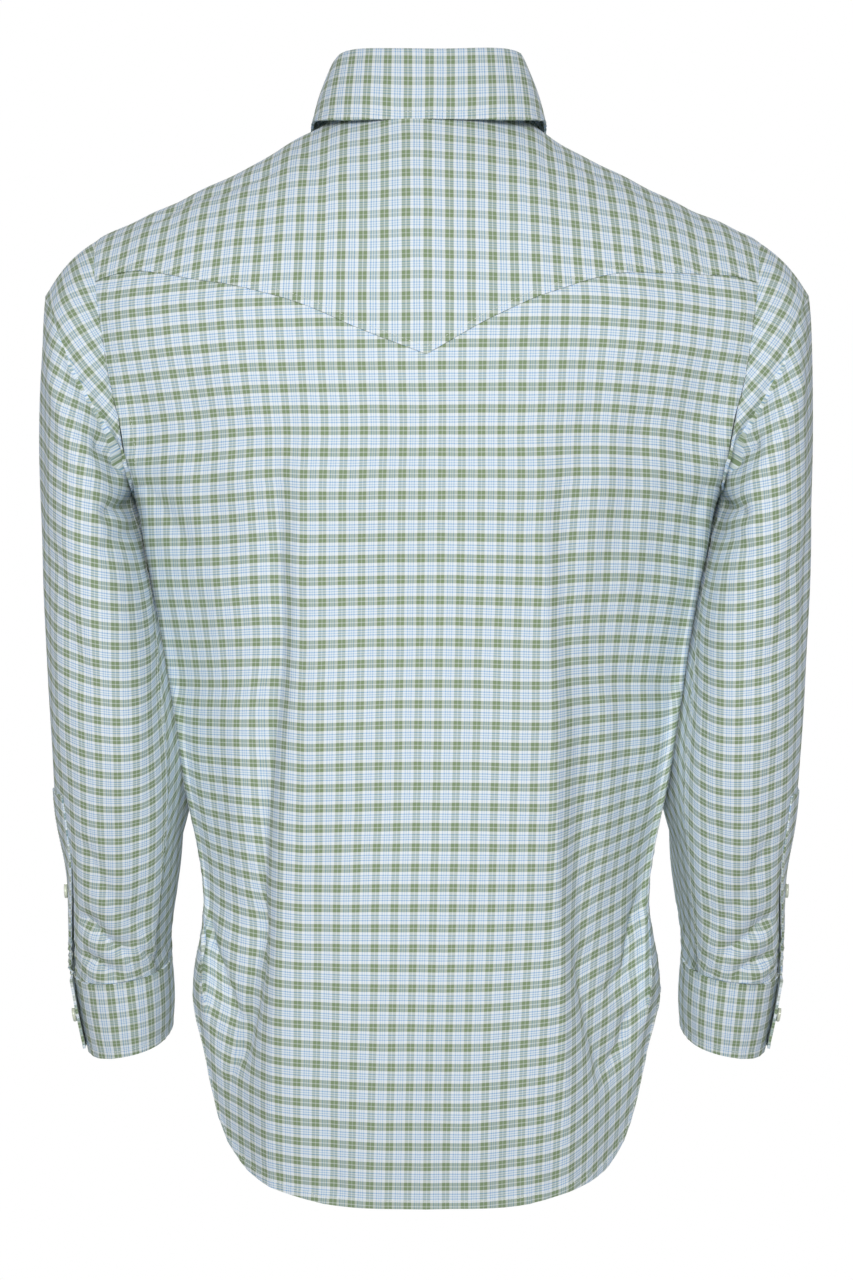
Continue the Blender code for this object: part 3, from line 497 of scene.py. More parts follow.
def tailor(name, grid, corners, thickness, finish, around=(0.0, 0.0), welds=(), gaps=()):
    """A cut piece: the grid is its outer face, and its inner face lies one thickness in. around is the place of
    the upright line that the piece goes round. welds are (kept column, dropped column, rows) that share their
    points, and gaps are columns after which the cloth is parted."""
    rows, columns = grid.shape[:2]
    index = np.arange(rows * columns).reshape(rows, columns)
    for kept, dropped, lines in welds:
        index[lines, dropped] = index[lines, kept]
    faces = corner_places(index[..., None])[..., 0]
    shown = [c for c in range(columns - 1) if c not in gaps]
    faces, corners = faces[:, shown].reshape(-1, 4), corners[:, shown].reshape(-1, 4, 2)
    used, faces = np.unique(faces, return_inverse=True)
    faces, points = faces.reshape(-1, 4), grid.reshape(-1, 3)[used]
    turned = np.cross(points[faces[:, 2]] - points[faces[:, 0]], points[faces[:, 3]] - points[faces[:, 1]])
    outwards = points[faces].mean(axis=1)[:, :2] - around
    if np.sum(turned[:, :2] * outwards) < 0:
        faces, corners, turned = faces[:, ::-1], corners[:, ::-1], -turned
    normals = np.zeros_like(points)
    for corner in range(4):
        np.add.at(normals, faces[:, corner], turned)
    inner = points - thickness * unit(normals)
    count = len(points)
    ahead = np.stack([faces, np.roll(faces, -1, axis=1)], -1).reshape(-1, 2)
    ahead_places = np.stack([corners, np.roll(corners, -1, axis=1)], -2).reshape(-1, 2, 2)
    rim = ~np.isin(ahead[:, 0] * count + ahead[:, 1], ahead[:, 1] * count + ahead[:, 0])
    a, b = ahead[rim].T
    rim_faces = np.stack([b, a, a + count, b + count], 1)
    rim_places = ahead_places[rim][:, [1, 0, 0, 1]]
    mesh = bpy.data.meshes.new(name)
    every = np.concatenate([faces, faces[:, ::-1] + count, rim_faces])
    mesh.from_pydata(np.concatenate([points, inner]).tolist(), [], every.tolist())
    cloth_map = mesh.uv_layers.new(name="cloth")
    cloth_map.data.foreach_set("uv", np.concatenate([corners, corners[:, ::-1], rim_places]).ravel())
    mesh.materials.append(finish.material)
    mesh.shade_smooth()
    mesh.set_sharp_from_angle(angle=math.radians(55))
    piece = put_in_scene(name, mesh)
    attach(piece, "root")
    return piece


def state_cut(grid, rests_on):
    """Works out the crossed diagonals of the piece's quads, and keeps nothing of them."""
    quads = np.cross(grid[1:, 1:] - grid[:-1, :-1], grid[1:, :-1] - grid[:-1, 1:])


# How far the filling climbs and the warp leans, in degrees, by height and by distance from the middle
OUT = [0.050, 0.085, 0.098, 0.115, 0.135, 0.160, 0.190]
CLIMB_LEFT = {
    -0.20: [0, 0, 0, 0, -2, -3, -4],
    -0.27: [0, 2, 6, -3, -5, -2, 0],
    -0.47: [0, 2, 6, 0, -4, -2, 0],
    -0.50: [0, 1, 4, 1, -2, 0, 2],
    -0.54: [0, 1, 5, 8, 7, 6, 8],
    -0.60: [0, 1, 4, 6, 14, 30, -6],
    -0.66: [1, 2, 2, 5, 14, 32, -6],
    -0.72: [2, 2, 4, 8, 14, 20, 22],
    -0.79: [2, 3, 4, 8, 14, 20, 22],
}
CLIMB_RIGHT = {
    -0.20: [0, 0, 0, -1, -3, -4, -6],
    -0.27: [0, 3, 6, 2, 0, -3, -8],
    -0.47: [0, 3, 7, 4, 3, 2, 0],
    -0.50: [0, 2, 6, 4, 3, 2, 3],
    -0.54: [0, 2, 12, 22, 18, 18, 20],
    -0.60: [1, 3, 12, 26, 24, 32, -4],
    -0.66: [3, 5, 11, 21, 28, 34, -2],
    -0.72: [5, 8, 16, 24, 30, 34, 36],
    -0.79: [5, 8, 16, 24, 30, 34, 36],
}
LEAN = {
    -0.12: [0, 0, 0, 0, 0, -3, -6],
    -0.20: [0, 0, 0, -1, -3, -6, -8],
    -0.27: [0, 0, -1, -6, -8, -9, -8],
    -0.47: [0, 0, -1, -6, -8, -8, -8],
    -0.54: [0, 0, 0, -2, -3, 5, 8],
    -0.60: [0, 0, 0, 0, 5, 26, -4],
    -0.66: [0, 0, 0, 0, 7, 26, -4],
    -0.72: [0, 0, -1, -3, -5, -6, -6],
    -0.79: [0, 0, -1, -3, -5, -6, -6],
}


def across_table(table, x, z):
    """The table read between its heights and its distances from the middle."""
    heights = sorted(table)
    columns = np.array([table[height] for height in heights], float)
    level = np.interp(z, heights, np.arange(len(heights)))
    low = np.clip(np.floor(level).astype(int), 0, len(heights) - 2)
    place = np.interp(x, OUT, np.arange(len(OUT)))
    near = np.clip(np.floor(place).astype(int), 0, len(OUT) - 2)
    up_share, out_share = level - low, place - near
    lower = columns[low, near] * (1 - out_share) + columns[low, near + 1] * out_share
    upper = columns[low + 1, near] * (1 - out_share) + columns[low + 1, near + 1] * out_share
    return (lower * (1 - up_share) + upper * up_share) * np.clip((x - 0.02) / 0.03, 0, 1)


def side_turn(grid, outwards):
    """How far the filling climbs and the warp leans towards the sides: over the hips, where the shirt is drawn in,
    and downwards beside the armholes. outwards is +1 where rising columns lead away from the middle, else -1."""
    x, z = np.abs(grid[..., 0]), grid[..., 2]
    climb = np.where(grid[..., 0] > 0, across_table(CLIMB_LEFT, x, z), across_table(CLIMB_RIGHT, x, z))
    return np.radians(climb) * outwards, np.radians(across_table(LEAN, x, z)) * outwards


# The two blade folds run from the yoke to the hips, where the cloth is drawn in and creases
LEFT_BLADE_FOLD = [
    (0.105, -0.205), (0.112, -0.323), (0.1165, -0.425), (0.124, -0.500),
    (0.131, -0.59), (0.139, -0.65), (0.143, -0.69),
]
RIGHT_BLADE_FOLD = [
    (-0.097, -0.205), (-0.104, -0.323), (-0.111, -0.425),
    (-0.115, -0.535), (-0.121, -0.63), (-0.131, -0.68),
]
LEFT_HIP_FOLD = [
    (0.1650, -0.586), (0.1607, -0.604), (0.1570, -0.619),
    (0.1518, -0.640), (0.1473, -0.656), (0.1390, -0.668),
]
LEFT_HIP_TUCK = [
    (0.133, -0.56), (0.1270, -0.60), (0.1262, -0.622), (0.1300, -0.646),
    (0.1365, -0.672), (0.1400, -0.690), (0.1488, -0.708),
]
RIGHT_HIP_FOLD = [
    (-0.1600, -0.574), (-0.1556, -0.590), (-0.1530, -0.609),
    (-0.1480, -0.626), (-0.1405, -0.638), (-0.1330, -0.645),
]
RIGHT_HIP_CREASE = [(-0.1540, -0.652), (-0.1475, -0.668), (-0.1465, -0.680), (-0.1420, -0.690), (-0.1340, -0.699)]
RIGHT_HIP_TUCK = [(-0.116, -0.60), (-0.119, -0.64), (-0.124, -0.67), (-0.130, -0.695), (-0.138, -0.712)]
HIP_CREASES = (LEFT_HIP_FOLD[2:], LEFT_HIP_TUCK[3:], RIGHT_HIP_FOLD[2:], RIGHT_HIP_CREASE[1:])
BACK_FOLDS = [  # places, width before, width after, height, sharpness
    (LEFT_BLADE_FOLD, 0.017, 0.014, -0.0120, 1.4),
    (RIGHT_BLADE_FOLD, 0.024, 0.016, -0.0055, 1.5),
    ([(0.098, -0.025), (0.142, -0.043), (0.185, -0.057), (0.218, -0.079)], 0.005, 0.004, -0.0020, 1.5),
    ([(-0.098, -0.021), (-0.142, -0.039), (-0.185, -0.059)], 0.004, 0.005, -0.0018, 1.5),
    ([(0.100, -0.010), (0.086, -0.026), (0.080, -0.045)], 0.005, 0.007, -0.0014, 1.5),
    ([(-0.102, -0.008), (-0.090, -0.022), (-0.086, -0.042)], 0.007, 0.005, -0.0014, 1.5),
    (LEFT_HIP_TUCK, 0.016, 0.009, -0.0065, 1.3),
    (LEFT_HIP_FOLD, 0.013, 0.006, -0.0070, 1.2),
    (RIGHT_HIP_TUCK, 0.009, 0.016, -0.0065, 1.3),
    (RIGHT_HIP_FOLD, 0.006, 0.013, -0.0070, 1.2),
    (RIGHT_HIP_CREASE, 0.005, 0.010, -0.0050, 1.2),
    ([(0.0705, -0.72), (0.0702, -0.744), (0.0658, -0.770), (0.0636, -0.793)], 0.010, 0.006, -0.0022, 1.5),
    ([(0.0123, -0.55), (0.0123, -0.68), (0.012, -0.79)], 0.016, 0.010, -0.0012, 1.6),
    ([(-0.058, -0.66), (-0.062, -0.73), (-0.060, -0.79)], 0.012, 0.018, -0.0014, 1.6),
    ([(0.150, -0.30), (0.157, -0.40), (0.160, -0.50)], 0.020, 0.016, 0.0016, 2.0),
    ([(-0.142, -0.30), (-0.150, -0.40), (-0.155, -0.50)], 0.016, 0.020, 0.0016, 2.0),
    ([(0.214, -0.262), (0.196, -0.285), (0.172, -0.325)], 0.008, 0.012, -0.0022, 1.5),
    ([(-0.214, -0.262), (-0.198, -0.290), (-0.176, -0.335)], 0.012, 0.008, -0.0022, 1.5),
]
# How much of the back's spare width hangs in the middle, and how much cloth lies on each way, by height
SLACK = {
    "z": [-0.79, -0.60, -0.52, -0.42, -0.35, -0.30, -0.24, -0.16],
    "share": [0.4, 0.45, 0.9, 1.0, 0.7, 0.35, -0.25, -0.1],
}
SNUG_ACROSS = {
    "z": [-0.79, -0.68, -0.60, -0.50, -0.42, -0.27, -0.18],
    "share": [1.03, 1.02, 0.98, 0.99, 1.0, 1.02, 1.05],
}
SNUG_ALONG = {"z": [-0.79, -0.54, -0.44, -0.36, -0.22, -0.16], "share": [1.075, 1.085, 1.03, 1.0, 1.0, 0.93]}


def side_of(grid):
    """+1 on the wearer's left half and -1 on the right."""
    return np.sign(grid[..., 0] + 1e-9)


def near_lines(grid, normals, lines, reach):
    """1 on the given folds' lines, fading to 0 within reach, on the side that faces back."""
    found = np.zeros(grid.shape[:2])
    for places in lines:
        places = np.array(places)
        for start, end in zip(places[:-1], places[1:]):
            share = np.clip(((grid[..., ::2] - start) @ (end - start)) / np.sum((end - start) ** 2), 0, 1)
            apart = np.linalg.norm(grid[..., ::2] - start - share[..., None] * (end - start), axis=-1)
            found = np.maximum(found, np.clip(1 - apart / reach, 0, 1))
    return found * (normals[..., 1] > 0)


def over_shoulder(normals):
    """The way up a panel and on over the shoulder."""
    return np.cross(np.array([1.0, 0.0, 0.0]), normals) * np.sign(normals[..., 1:2])


def lay_back(grid):
    """Flat places of the back's rows, then of the yoke's, on from the same seam."""
    normals, x_side = grid_normals(grid, BODY_MIDDLE), side_of(grid)
    z, x = grid[..., 2], np.abs(grid[..., 0])
    side_slack = np.interp(x, [0.05, 0.09, 0.115, 0.15, 0.19], [1.0, 0.92, 0.70, 0.64, 0.66])
    slack_share = np.interp(z, SLACK["z"], SLACK["share"])
    snug_across = np.interp(z, SNUG_ACROSS["z"], SNUG_ACROSS["share"]) * (1 - slack_share + slack_share * side_slack)
    snug_along = np.interp(z, SNUG_ALONG["z"], SNUG_ALONG["share"])
    firm_middle = np.interp(x, [0.085, 0.13], [1.0, 0.06]) * np.clip((-0.30 - z) / 0.12, 0, 1)
    firm = firm_middle + np.clip((z + 0.42) / 0.12, 0, 1)
    hold = (0.01 + np.clip(firm, 0, 1)) * (1 - 0.95 * near_lines(grid, normals, HIP_CREASES, CREASE_REACH))
    of_panel = (grid, normals, UP + 0 * grid, *side_turn(grid, x_side))
    of_panel = (part[BELOW_SEAM] for part in of_panel)
    panel = lay_flat(*of_panel, (snug_across[BELOW_SEAM], snug_along[BELOW_SEAM]), hold[BELOW_SEAM])
    climb = np.radians(np.interp(x, [0.02, 0.07, 0.14, 0.20], [0, 5, 6, 5])) * x_side
    lean = np.radians(np.interp(x, [0.05, 0.09, 0.13, 0.20], [0, 2, 4, 5])) * x_side
    of_yoke = (part[ABOVE_SEAM] for part in (grid, normals, over_shoulder(normals), climb, lean))
    yoke = lay_flat(*of_yoke, (0.96, 0.95))
    return panel - panel[BODY_ROWS, MIDDLE_COLUMN], yoke - yoke[-1, MIDDLE_COLUMN]


# Outside the blade folds the cloth is pulled forward and hangs as two flat slanting sides
PULLED = {
    "z": [-0.840, -0.750, -0.640, -0.480, -0.320, -0.230, -0.165],
    "depth": [0.007, 0.014, 0.020, 0.022, 0.018, 0.012, 0.002],
    "left_from": [0.112, 0.116, 0.111, 0.105, 0.096, 0.090, 0.088],
    "right_from": [0.102, 0.104, 0.100, 0.096, 0.088, 0.084, 0.082],
}
PULLED_ACROSS = {"share": [0.0, 0.12, 0.28, 0.46, 0.66, 0.87, 1.0], "depth": [0.0, 0.24, 0.57, 0.87, 1.0, 0.78, 0.0]}
LEFT_PULL, RIGHT_PULL = 1.05, 1.5
on_left, x_out, z_up = side_of(whole_back) > 0, np.abs(whole_back[..., 0]), whole_back[..., 2]
starts = np.where(on_left, smooth(PULLED, "z", "left_from", z_up), smooth(PULLED, "z", "right_from", z_up))
share = (x_out - starts) / (np.where(on_left, x_out[:, -1:], x_out[:, :1]) - starts)
pull = np.where(on_left, LEFT_PULL, RIGHT_PULL) * smooth(PULLED, "z", "depth", z_up)
whole_back[..., 1] -= pull * smooth(PULLED_ACROSS, "share", "depth", share)
# The folds and the drape are drawn on the laid-out cloth, which is then laid out again over them
back_flat, yoke_flat = lay_back(whole_back)
whole_flat = np.concatenate([back_flat, back_flat[-1] + yoke_flat[1:] - yoke_flat[0]])
raw_normals = grid_normals(whole_back, BODY_MIDDLE)
relief = fold_relief(whole_back, raw_normals, whole_flat, BACK_FOLDS, +1)
relief += BACK_DRAPE * drape(whole_flat, 3, DRAPE_WIDTH, DRAPE_LENGTH)
whole_back = whole_back + raw_normals * relief[..., None]
whole_normals = grid_normals(whole_back, BODY_MIDDLE)
back_flat, yoke_flat = lay_back(whole_back)

back_grid, back_normals = whole_back[BELOW_SEAM], whole_normals[BELOW_SEAM]
run_down, run_across = edge_runs(back_grid)
side_run = run_down + 5 * (side_of(back_grid) + 1)  # 10 m on at the left, so that the two sides pucker unlike
back_grid = panel_seams(back_grid, back_normals, nearer_side(run_across), side_run, 11)
TUCKED = 0.004  # how far the panel runs on under the yoke
tucked = back_grid[-1:] + unit(back_grid[-1:] - back_grid[-3:-2]) * TUCKED - back_normals[-1:] * 0.0012
back_cloth = np.concatenate([back_grid, tucked])
back_places = np.concatenate([back_flat, back_flat[-1:] + np.array([0.0, TUCKED])])
# How the check has settled down the back: its spread across, its lean to the left and its drop, all small
SETTLING = {
    "z": [-0.790, -0.717, -0.644, -0.571, -0.498, -0.425, -0.352, -0.279, -0.220, -0.177, -0.133],
    "spread": [1.035, 1.033, 1.020, 0.978, 0.956, 0.936, 0.941, 1.0, 1.070, 1.060, 1.030],
    "lean": [0.0125, 0.0110, 0.0088, 0.0066, 0.0044, 0.0029, 0.0015, 0.0007, 0.0, 0.0007, 0.0007],
    "drop": [-0.0015, -0.0015, -0.0008, -0.0016, -0.0038, -0.0045, -0.0045, -0.0045, -0.0052, -0.0052, -0.0045],
    "side_drop": [0.0, 0.0, 0.0, 0.0015, 0.0030, 0.0030, 0.0028, 0.0010, 0.0, 0.0, 0.0],
}
spread, lean, drop, side_drop = (
    smooth(SETTLING, "z", name, back_cloth[..., 2]) for name in ("spread", "lean", "drop", "side_drop")
)
off_middle = np.clip(np.abs(back_cloth[..., 0]) / 0.090, 0, 1) ** 2
back_places[..., 0] = back_places[..., 0] * spread - lean
back_places[..., 1] += drop + side_drop * off_middle
back = tailor("back_panel", back_cloth, corner_places(back_places), CLOTH, plaid)
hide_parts("back")
state_cut(back_grid, ["yoke", "front_panel_left", "front_panel_right"])

# --- The yoke ---
# One piece across the shoulders, cut across the grain so the strong stripes stand upright. Its lower edge comes
# to a point, lies over the back and is topstitched.
YOKE_CLOTH = 0.0006
YOKE_SHIFT, YOKE_DROP = 0.0038, (0.0053, 0.0023)  # how its check has settled: all over, and at the left and right
yoke_grid, yoke_normals = whole_back[ABOVE_SEAM], whole_normals[ABOVE_SEAM]
run_down, run_across = edge_runs(yoke_grid)
lift = 0.0002 + 0.0005 * swell(run_down, 0.010)
lift += 0.0003 * puckers(run_across, 0.009, 31) * swell(run_down, 0.010)
lift -= 0.0008 * swell(nearer_side(run_across), 0.0025)
sewn_yoke = yoke_grid + yoke_normals * lift[..., None]
yoke_places = yoke_flat + np.array([YOKE_SHIFT, 0.0])
yoke_drop = np.where(yoke_grid[..., 0] > 0, *YOKE_DROP)
yoke_places[..., 1] -= yoke_drop * np.clip(np.abs(yoke_grid[..., 0]) / 0.136, 0, 1.2) ** 2
yoke = tailor("yoke", sewn_yoke, corner_places(yoke_places[..., ::-1]), YOKE_CLOTH, plaid)
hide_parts("back_yoke")
state_cut(yoke_grid, ["stand", "front_panel_left", "front_panel_right"])

# --- The fronts ---
# Two panels of the plaid, buttoned left over right. Each is felled to the back at the side and to the yoke at the
# shoulder, and its hem is turned up as the back's is.
FRONT_FOLDS = [
    ([(0.105, -0.31), (0.103, -0.45), (0.098, -0.60), (0.094, -0.72)], 0.014, 0.028, -0.0060, 1.6),
    ([(0.060, -0.36), (0.065, -0.55), (0.066, -0.74)], 0.020, 0.026, 0.0034, 2.0),
    ([(0.150, -0.58), (0.139, -0.62), (0.131, -0.66), (0.134, -0.70)], 0.008, 0.014, -0.0045, 1.4),
    ([(0.192, -0.275), (0.168, -0.31), (0.140, -0.36)], 0.008, 0.013, -0.0030, 1.5),
    ([(0.060, -0.100), (0.085, -0.150), (0.120, -0.215)], 0.010, 0.016, -0.0018, 1.6),
]
LEFT_FRONT_FOLDS = [
    ([(0.162, -0.16), (0.170, -0.21), (0.163, -0.27)], 0.012, 0.012, -0.0016, 1.6),
    ([(0.034, -0.50), (0.040, -0.60), (0.038, -0.76)], 0.009, 0.013, -0.0016, 1.6),
]
RIGHT_FRONT_FOLD = ([(0.165, -0.35), (0.160, -0.45), (0.150, -0.54)], 0.020, 0.014, -0.0022, 1.6)
UNDER_PLACKET = 0.0018  # how far the right front lies under the left
fronts = {}
for name, side, seed in (("left", 1, 51), ("right", -1, 71)):
    grid = left_front if side > 0 else mirrored(left_front)
    normals = grid_normals(grid, BODY_MIDDLE)
    high = np.clip((grid[..., 2:] + 0.20) / 0.10, 0, 1)
    guide = UP * (1 - high) + over_shoulder(normals) * high
    flat = lay_flat(grid, normals, guide, *(turn * 0.5 for turn in side_turn(grid, 1.0)))
    if side > 0:
        folds = FRONT_FOLDS + LEFT_FRONT_FOLDS
    else:  # the same folds on the other side, where each line's left and right change places
        folds = [(places, after, before, *rest) for places, before, after, *rest in FRONT_FOLDS] + [RIGHT_FRONT_FOLD]
    folds = [([(side * x, z) for x, z in places], *rest) for places, *rest in folds]
    relief = fold_relief(grid, normals, flat, folds, -1)
    from_placket = np.clip((np.abs(grid[..., 0]) - 0.012) / 0.03, 0, 1)
    relief += FRONT_DRAPE * drape(flat, seed, DRAPE_WIDTH, DRAPE_LENGTH) * from_placket
    grid = grid + normals * relief[..., None]
    grid[: BODY_ROWS + 1, -1] = whole_back[: BODY_ROWS + 1, -1 if side > 0 else 0]
    grid[-1, -OUTER_COLUMNS - 1 :] = whole_back[-1, ::side][-OUTER_COLUMNS - 1 :]
    normals = grid_normals(grid, BODY_MIDDLE)
    flat = lay_flat(grid, normals, guide, *(turn * 0.5 for turn in side_turn(grid, 1.0)))
    flat -= flat[BODY_ROWS, PLACKET_COLUMNS]
    down, across = edge_runs(grid)
    grid = panel_seams(grid, normals, across[:, -1:] - across, down, seed + 40)
    if side < 0:
        under = np.clip(1 - (-grid[..., 0] - PLACKET_WIDTH * 0.6) / PLACKET_WIDTH, 0, 1)
        grid = grid - normals * (UNDER_PLACKET * under)[..., None]
    fronts[name] = (grid, normals, flat)
    panel = tailor("front_panel_" + name, grid, corner_places(flat), CLOTH, plaid)
    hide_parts("front_" + name)
    state_cut(grid, ["yoke", "back_panel"])

# --- The sleeves ---
# Each is one panel with its seam under the arm, set into the armhole. It bends sharply at the shoulder, where a
# deep crease runs down to the armpit, and is gathered a little into the cuff. Its slit is at the back.
RING_PARTS = ("out_x", "out_z", "in_x", "in_z", "mid_y", "half_depth", "lean")
SLEEVE_ROWS = [  # the ring at the crease first, the one at the cuff last
    (0.2865, -0.122, 0.2235, -0.2725, 0.002, 0.070, 0.0),
    (0.2882, -0.146, 0.2225, -0.284, 0.003, 0.075, 0.0),
    (0.2893, -0.190, 0.2175, -0.300, 0.005, 0.080, 0.0),
    (0.2890, -0.245, 0.2125, -0.325, 0.008, 0.081, 0.0),
    (0.2880, -0.300, 0.2065, -0.352, 0.011, 0.080, 0.0),
    (0.2860, -0.355, 0.2005, -0.384, 0.013, 0.078, 2.0),
    (0.2838, -0.410, 0.1950, -0.425, 0.012, 0.074, 4.0),
    (0.2810, -0.462, 0.1890, -0.466, 0.007, 0.070, 7.0),
    (0.2780, -0.508, 0.1855, -0.508, -0.002, 0.065, 10.0),
    (0.2725, -0.549, 0.1872, -0.545, -0.013, 0.060, 12.0),
    (0.2707, -0.580, 0.1908, -0.575, -0.024, 0.056, 14.0),
    (0.2700, -0.609, 0.1945, -0.601, -0.034, 0.052, 15.0),
    (0.2690, -0.632, 0.1962, -0.623, -0.043, 0.0475, 15.0),
]
CAP_ROWS, ARM_PIECE_ROWS = 16, 112
SLIT_TURN, SLIT_TOP_Z, SLIT_OPEN, SLIT_LIFT = 16.0, -0.520, 0.005, 0.002
BINDING_WIDTH, BINDING_THICKNESS, BINDING_PROUD = 0.024, 0.0012, 0.0014
CAP_PUFF, SET_IN_REACH, PRESSED_IN = 0.0045, 0.030, 0.016
SUNK = {"left": (0.026, 0.35), "right": (0.042, 0.8)}  # depth past the seam, and its share low down
CREASE_DEPTH, GATHER_DEPTH, GATHER_PITCH, GATHER_REACH = 0.0036, 0.0019, 0.016, 0.035
SLEEVE_DRAPE, SLEEVE_DRAPE_WIDTH, SLEEVE_DRAPE_LENGTH = 0.0007, 0.045, 0.16
CHECK_DROP = 0.0068  # how far the check has settled down the arm
SLEEVE_MIDDLE = 0.24  # distance of the sleeve's middle line from the body's
FULL_TURN = 2 * math.pi
TWIST = {  # how far the seam and the slit have turned towards the back, in degrees, going up the arm
    "z": [-0.64, -0.60, -0.535, -0.50, -0.40, -0.33, -0.27],
    "seam": [42, 42, 40, 36, 24, 10, 0],
    "slit": [0, 8, 22, 22, 10, 0, 0],
}
GATHER_ABOVE_CUFF = [(0.262, -0.585), (0.2515, -0.597), (0.240, -0.6085), (0.229, -0.617), (0.2195, -0.623)]
# Folds of the left sleeve, in its own half: face (+1 back, -1 front), places, widths, height, sharpness
SLEEVE_FOLDS = [
    (+1, [(0.209, -0.268), (0.2190, -0.276), (0.2300, -0.284), (0.2430, -0.291)], 0.010, 0.005, -0.0068, 1.2),
    (+1, [(0.246, -0.230), (0.2336, -0.2420), (0.2212, -0.2553)], 0.006, 0.010, -0.0080, 1.2),
    (+1, [(0.214, -0.290), (0.228, -0.306), (0.246, -0.322)], 0.014, 0.008, -0.0033, 1.5),
    (+1, [(0.280, -0.175), (0.268, -0.215), (0.252, -0.250), (0.236, -0.272)], 0.012, 0.010, 0.0022, 1.8),
    (+1, [(0.272, -0.30), (0.262, -0.37), (0.244, -0.43)], 0.012, 0.018, -0.0030, 1.6),
    (+1, GATHER_ABOVE_CUFF, 0.010, 0.005, -0.0085, 1.1),
    (+1, [(0.263, -0.620), (0.2495, -0.623), (0.2385, -0.631), (0.229, -0.638)], 0.008, 0.004, -0.0070, 1.1),
    (+1, [(0.258, -0.52), (0.246, -0.555), (0.229, -0.585), (0.212, -0.60)], 0.012, 0.009, -0.0033, 1.5),
    (+1, [(0.215, -0.50), (0.213, -0.56), (0.210, -0.61)], 0.008, 0.012, -0.0027, 1.5),
    (-1, [(0.215, -0.270), (0.232, -0.284), (0.252, -0.292)], 0.006, 0.012, -0.0054, 1.3),
    (-1, [(0.205, -0.43), (0.225, -0.450), (0.250, -0.462)], 0.009, 0.014, -0.0051, 1.4),
    (-1, [(0.207, -0.47), (0.224, -0.486), (0.244, -0.490)], 0.008, 0.012, -0.0042, 1.4),
    (-1, [(0.262, -0.500), (0.248, -0.560), (0.232, -0.615)], 0.009, 0.013, -0.0036, 1.4),
    (-1, [(0.215, -0.560), (0.216, -0.600), (0.214, -0.632)], 0.007, 0.010, -0.0033, 1.4),
    (-1, [(0.278, -0.19), (0.262, -0.245), (0.240, -0.285)], 0.012, 0.012, 0.0020, 1.8),
]


def ring_table(rows):
    return {"step": list(range(len(rows))), **dict(zip(RING_PARTS, (list(column) for column in zip(*rows))))}


def tube_rings(table, steps, turns):
    """Rings of a sleeve or a cuff at the given steps through its table. Turn 0 is outside, and a quarter turn is
    the back."""
    out_x, out_z, in_x, in_z, mid_y, half_depth, lean = (
        smooth(table, "step", name, steps)[:, None] for name in RING_PARTS
    )
    shape = 2 / 2.25
    cosine = np.sign(np.cos(turns)) * np.abs(np.cos(turns)) ** shape
    sine = np.sign(np.sin(turns)) * np.abs(np.sin(turns)) ** shape
    tilt = np.radians(lean)
    x = (out_x + in_x) / 2 + cosine * (out_x - in_x) / 2
    z = (out_z + in_z) / 2 + cosine * (out_z - in_z) / 2 - sine * half_depth * np.sin(tilt)
    return np.stack([x, mid_y + sine * half_depth * np.cos(tilt), z], -1)


def tube_normals(grid):
    """Normals of a tube whose last column repeats its first."""
    wrapped = np.concatenate([grid[:, -2:-1], grid, grid[:, 1:2]], axis=1)
    found = unit(np.cross(np.gradient(wrapped, axis=1), np.gradient(wrapped, axis=0)))[:, 1:-1]
    return found * np.sign(np.sum(found * (grid - grid.mean(axis=1, keepdims=True))))


def twisted(turns, z):
    """The angle at which each column really stands in each ring."""
    seam, slit = (np.interp(z, TWIST["z"], TWIST[name]) for name in ("seam", "slit"))
    rings = []
    for back, ahead in zip(seam, slit):
        marks = [-180, -95, SLIT_TURN, 90, 180]
        moved = [-180 - back, -95 - 0.3 * back, SLIT_TURN + ahead, 90 + 0.5 * ahead - 0.3 * back, 180 - back]
        rings.append(np.interp(np.degrees(turns), marks, moved))
    return np.radians(np.array(rings))


def armhole(name, flip):
    """The armhole's places in the left half, and the turn of the sleeve that meets each: from the armpit up the
    front, over the shoulder and down the back to the armpit again."""
    back_edge = np.concatenate([back_grid, sewn_yoke[1:]])[BODY_ROWS:, -1 if name == "left" else 0][::-1]
    loop = np.concatenate([back_edge, fronts[name][0][BODY_ROWS + 1 : -1, -1]]) * flip
    armpit = len(back_edge) - 1
    run = run_of(np.concatenate([loop, loop[:1]]))
    up_front = 1 + (run[armpit:] - run[armpit])[1:-1] / (run[-1] - run[armpit])
    turns = np.concatenate([run[: armpit + 1] / run[armpit], up_front]) * math.pi
    order = np.concatenate([np.arange(armpit, len(loop)), np.arange(0, armpit + 1)])
    loop, turns = loop[order], np.where(order >= armpit, turns[order] - FULL_TURN, turns[order])
    turns[-1] = math.pi
    return loop, turns


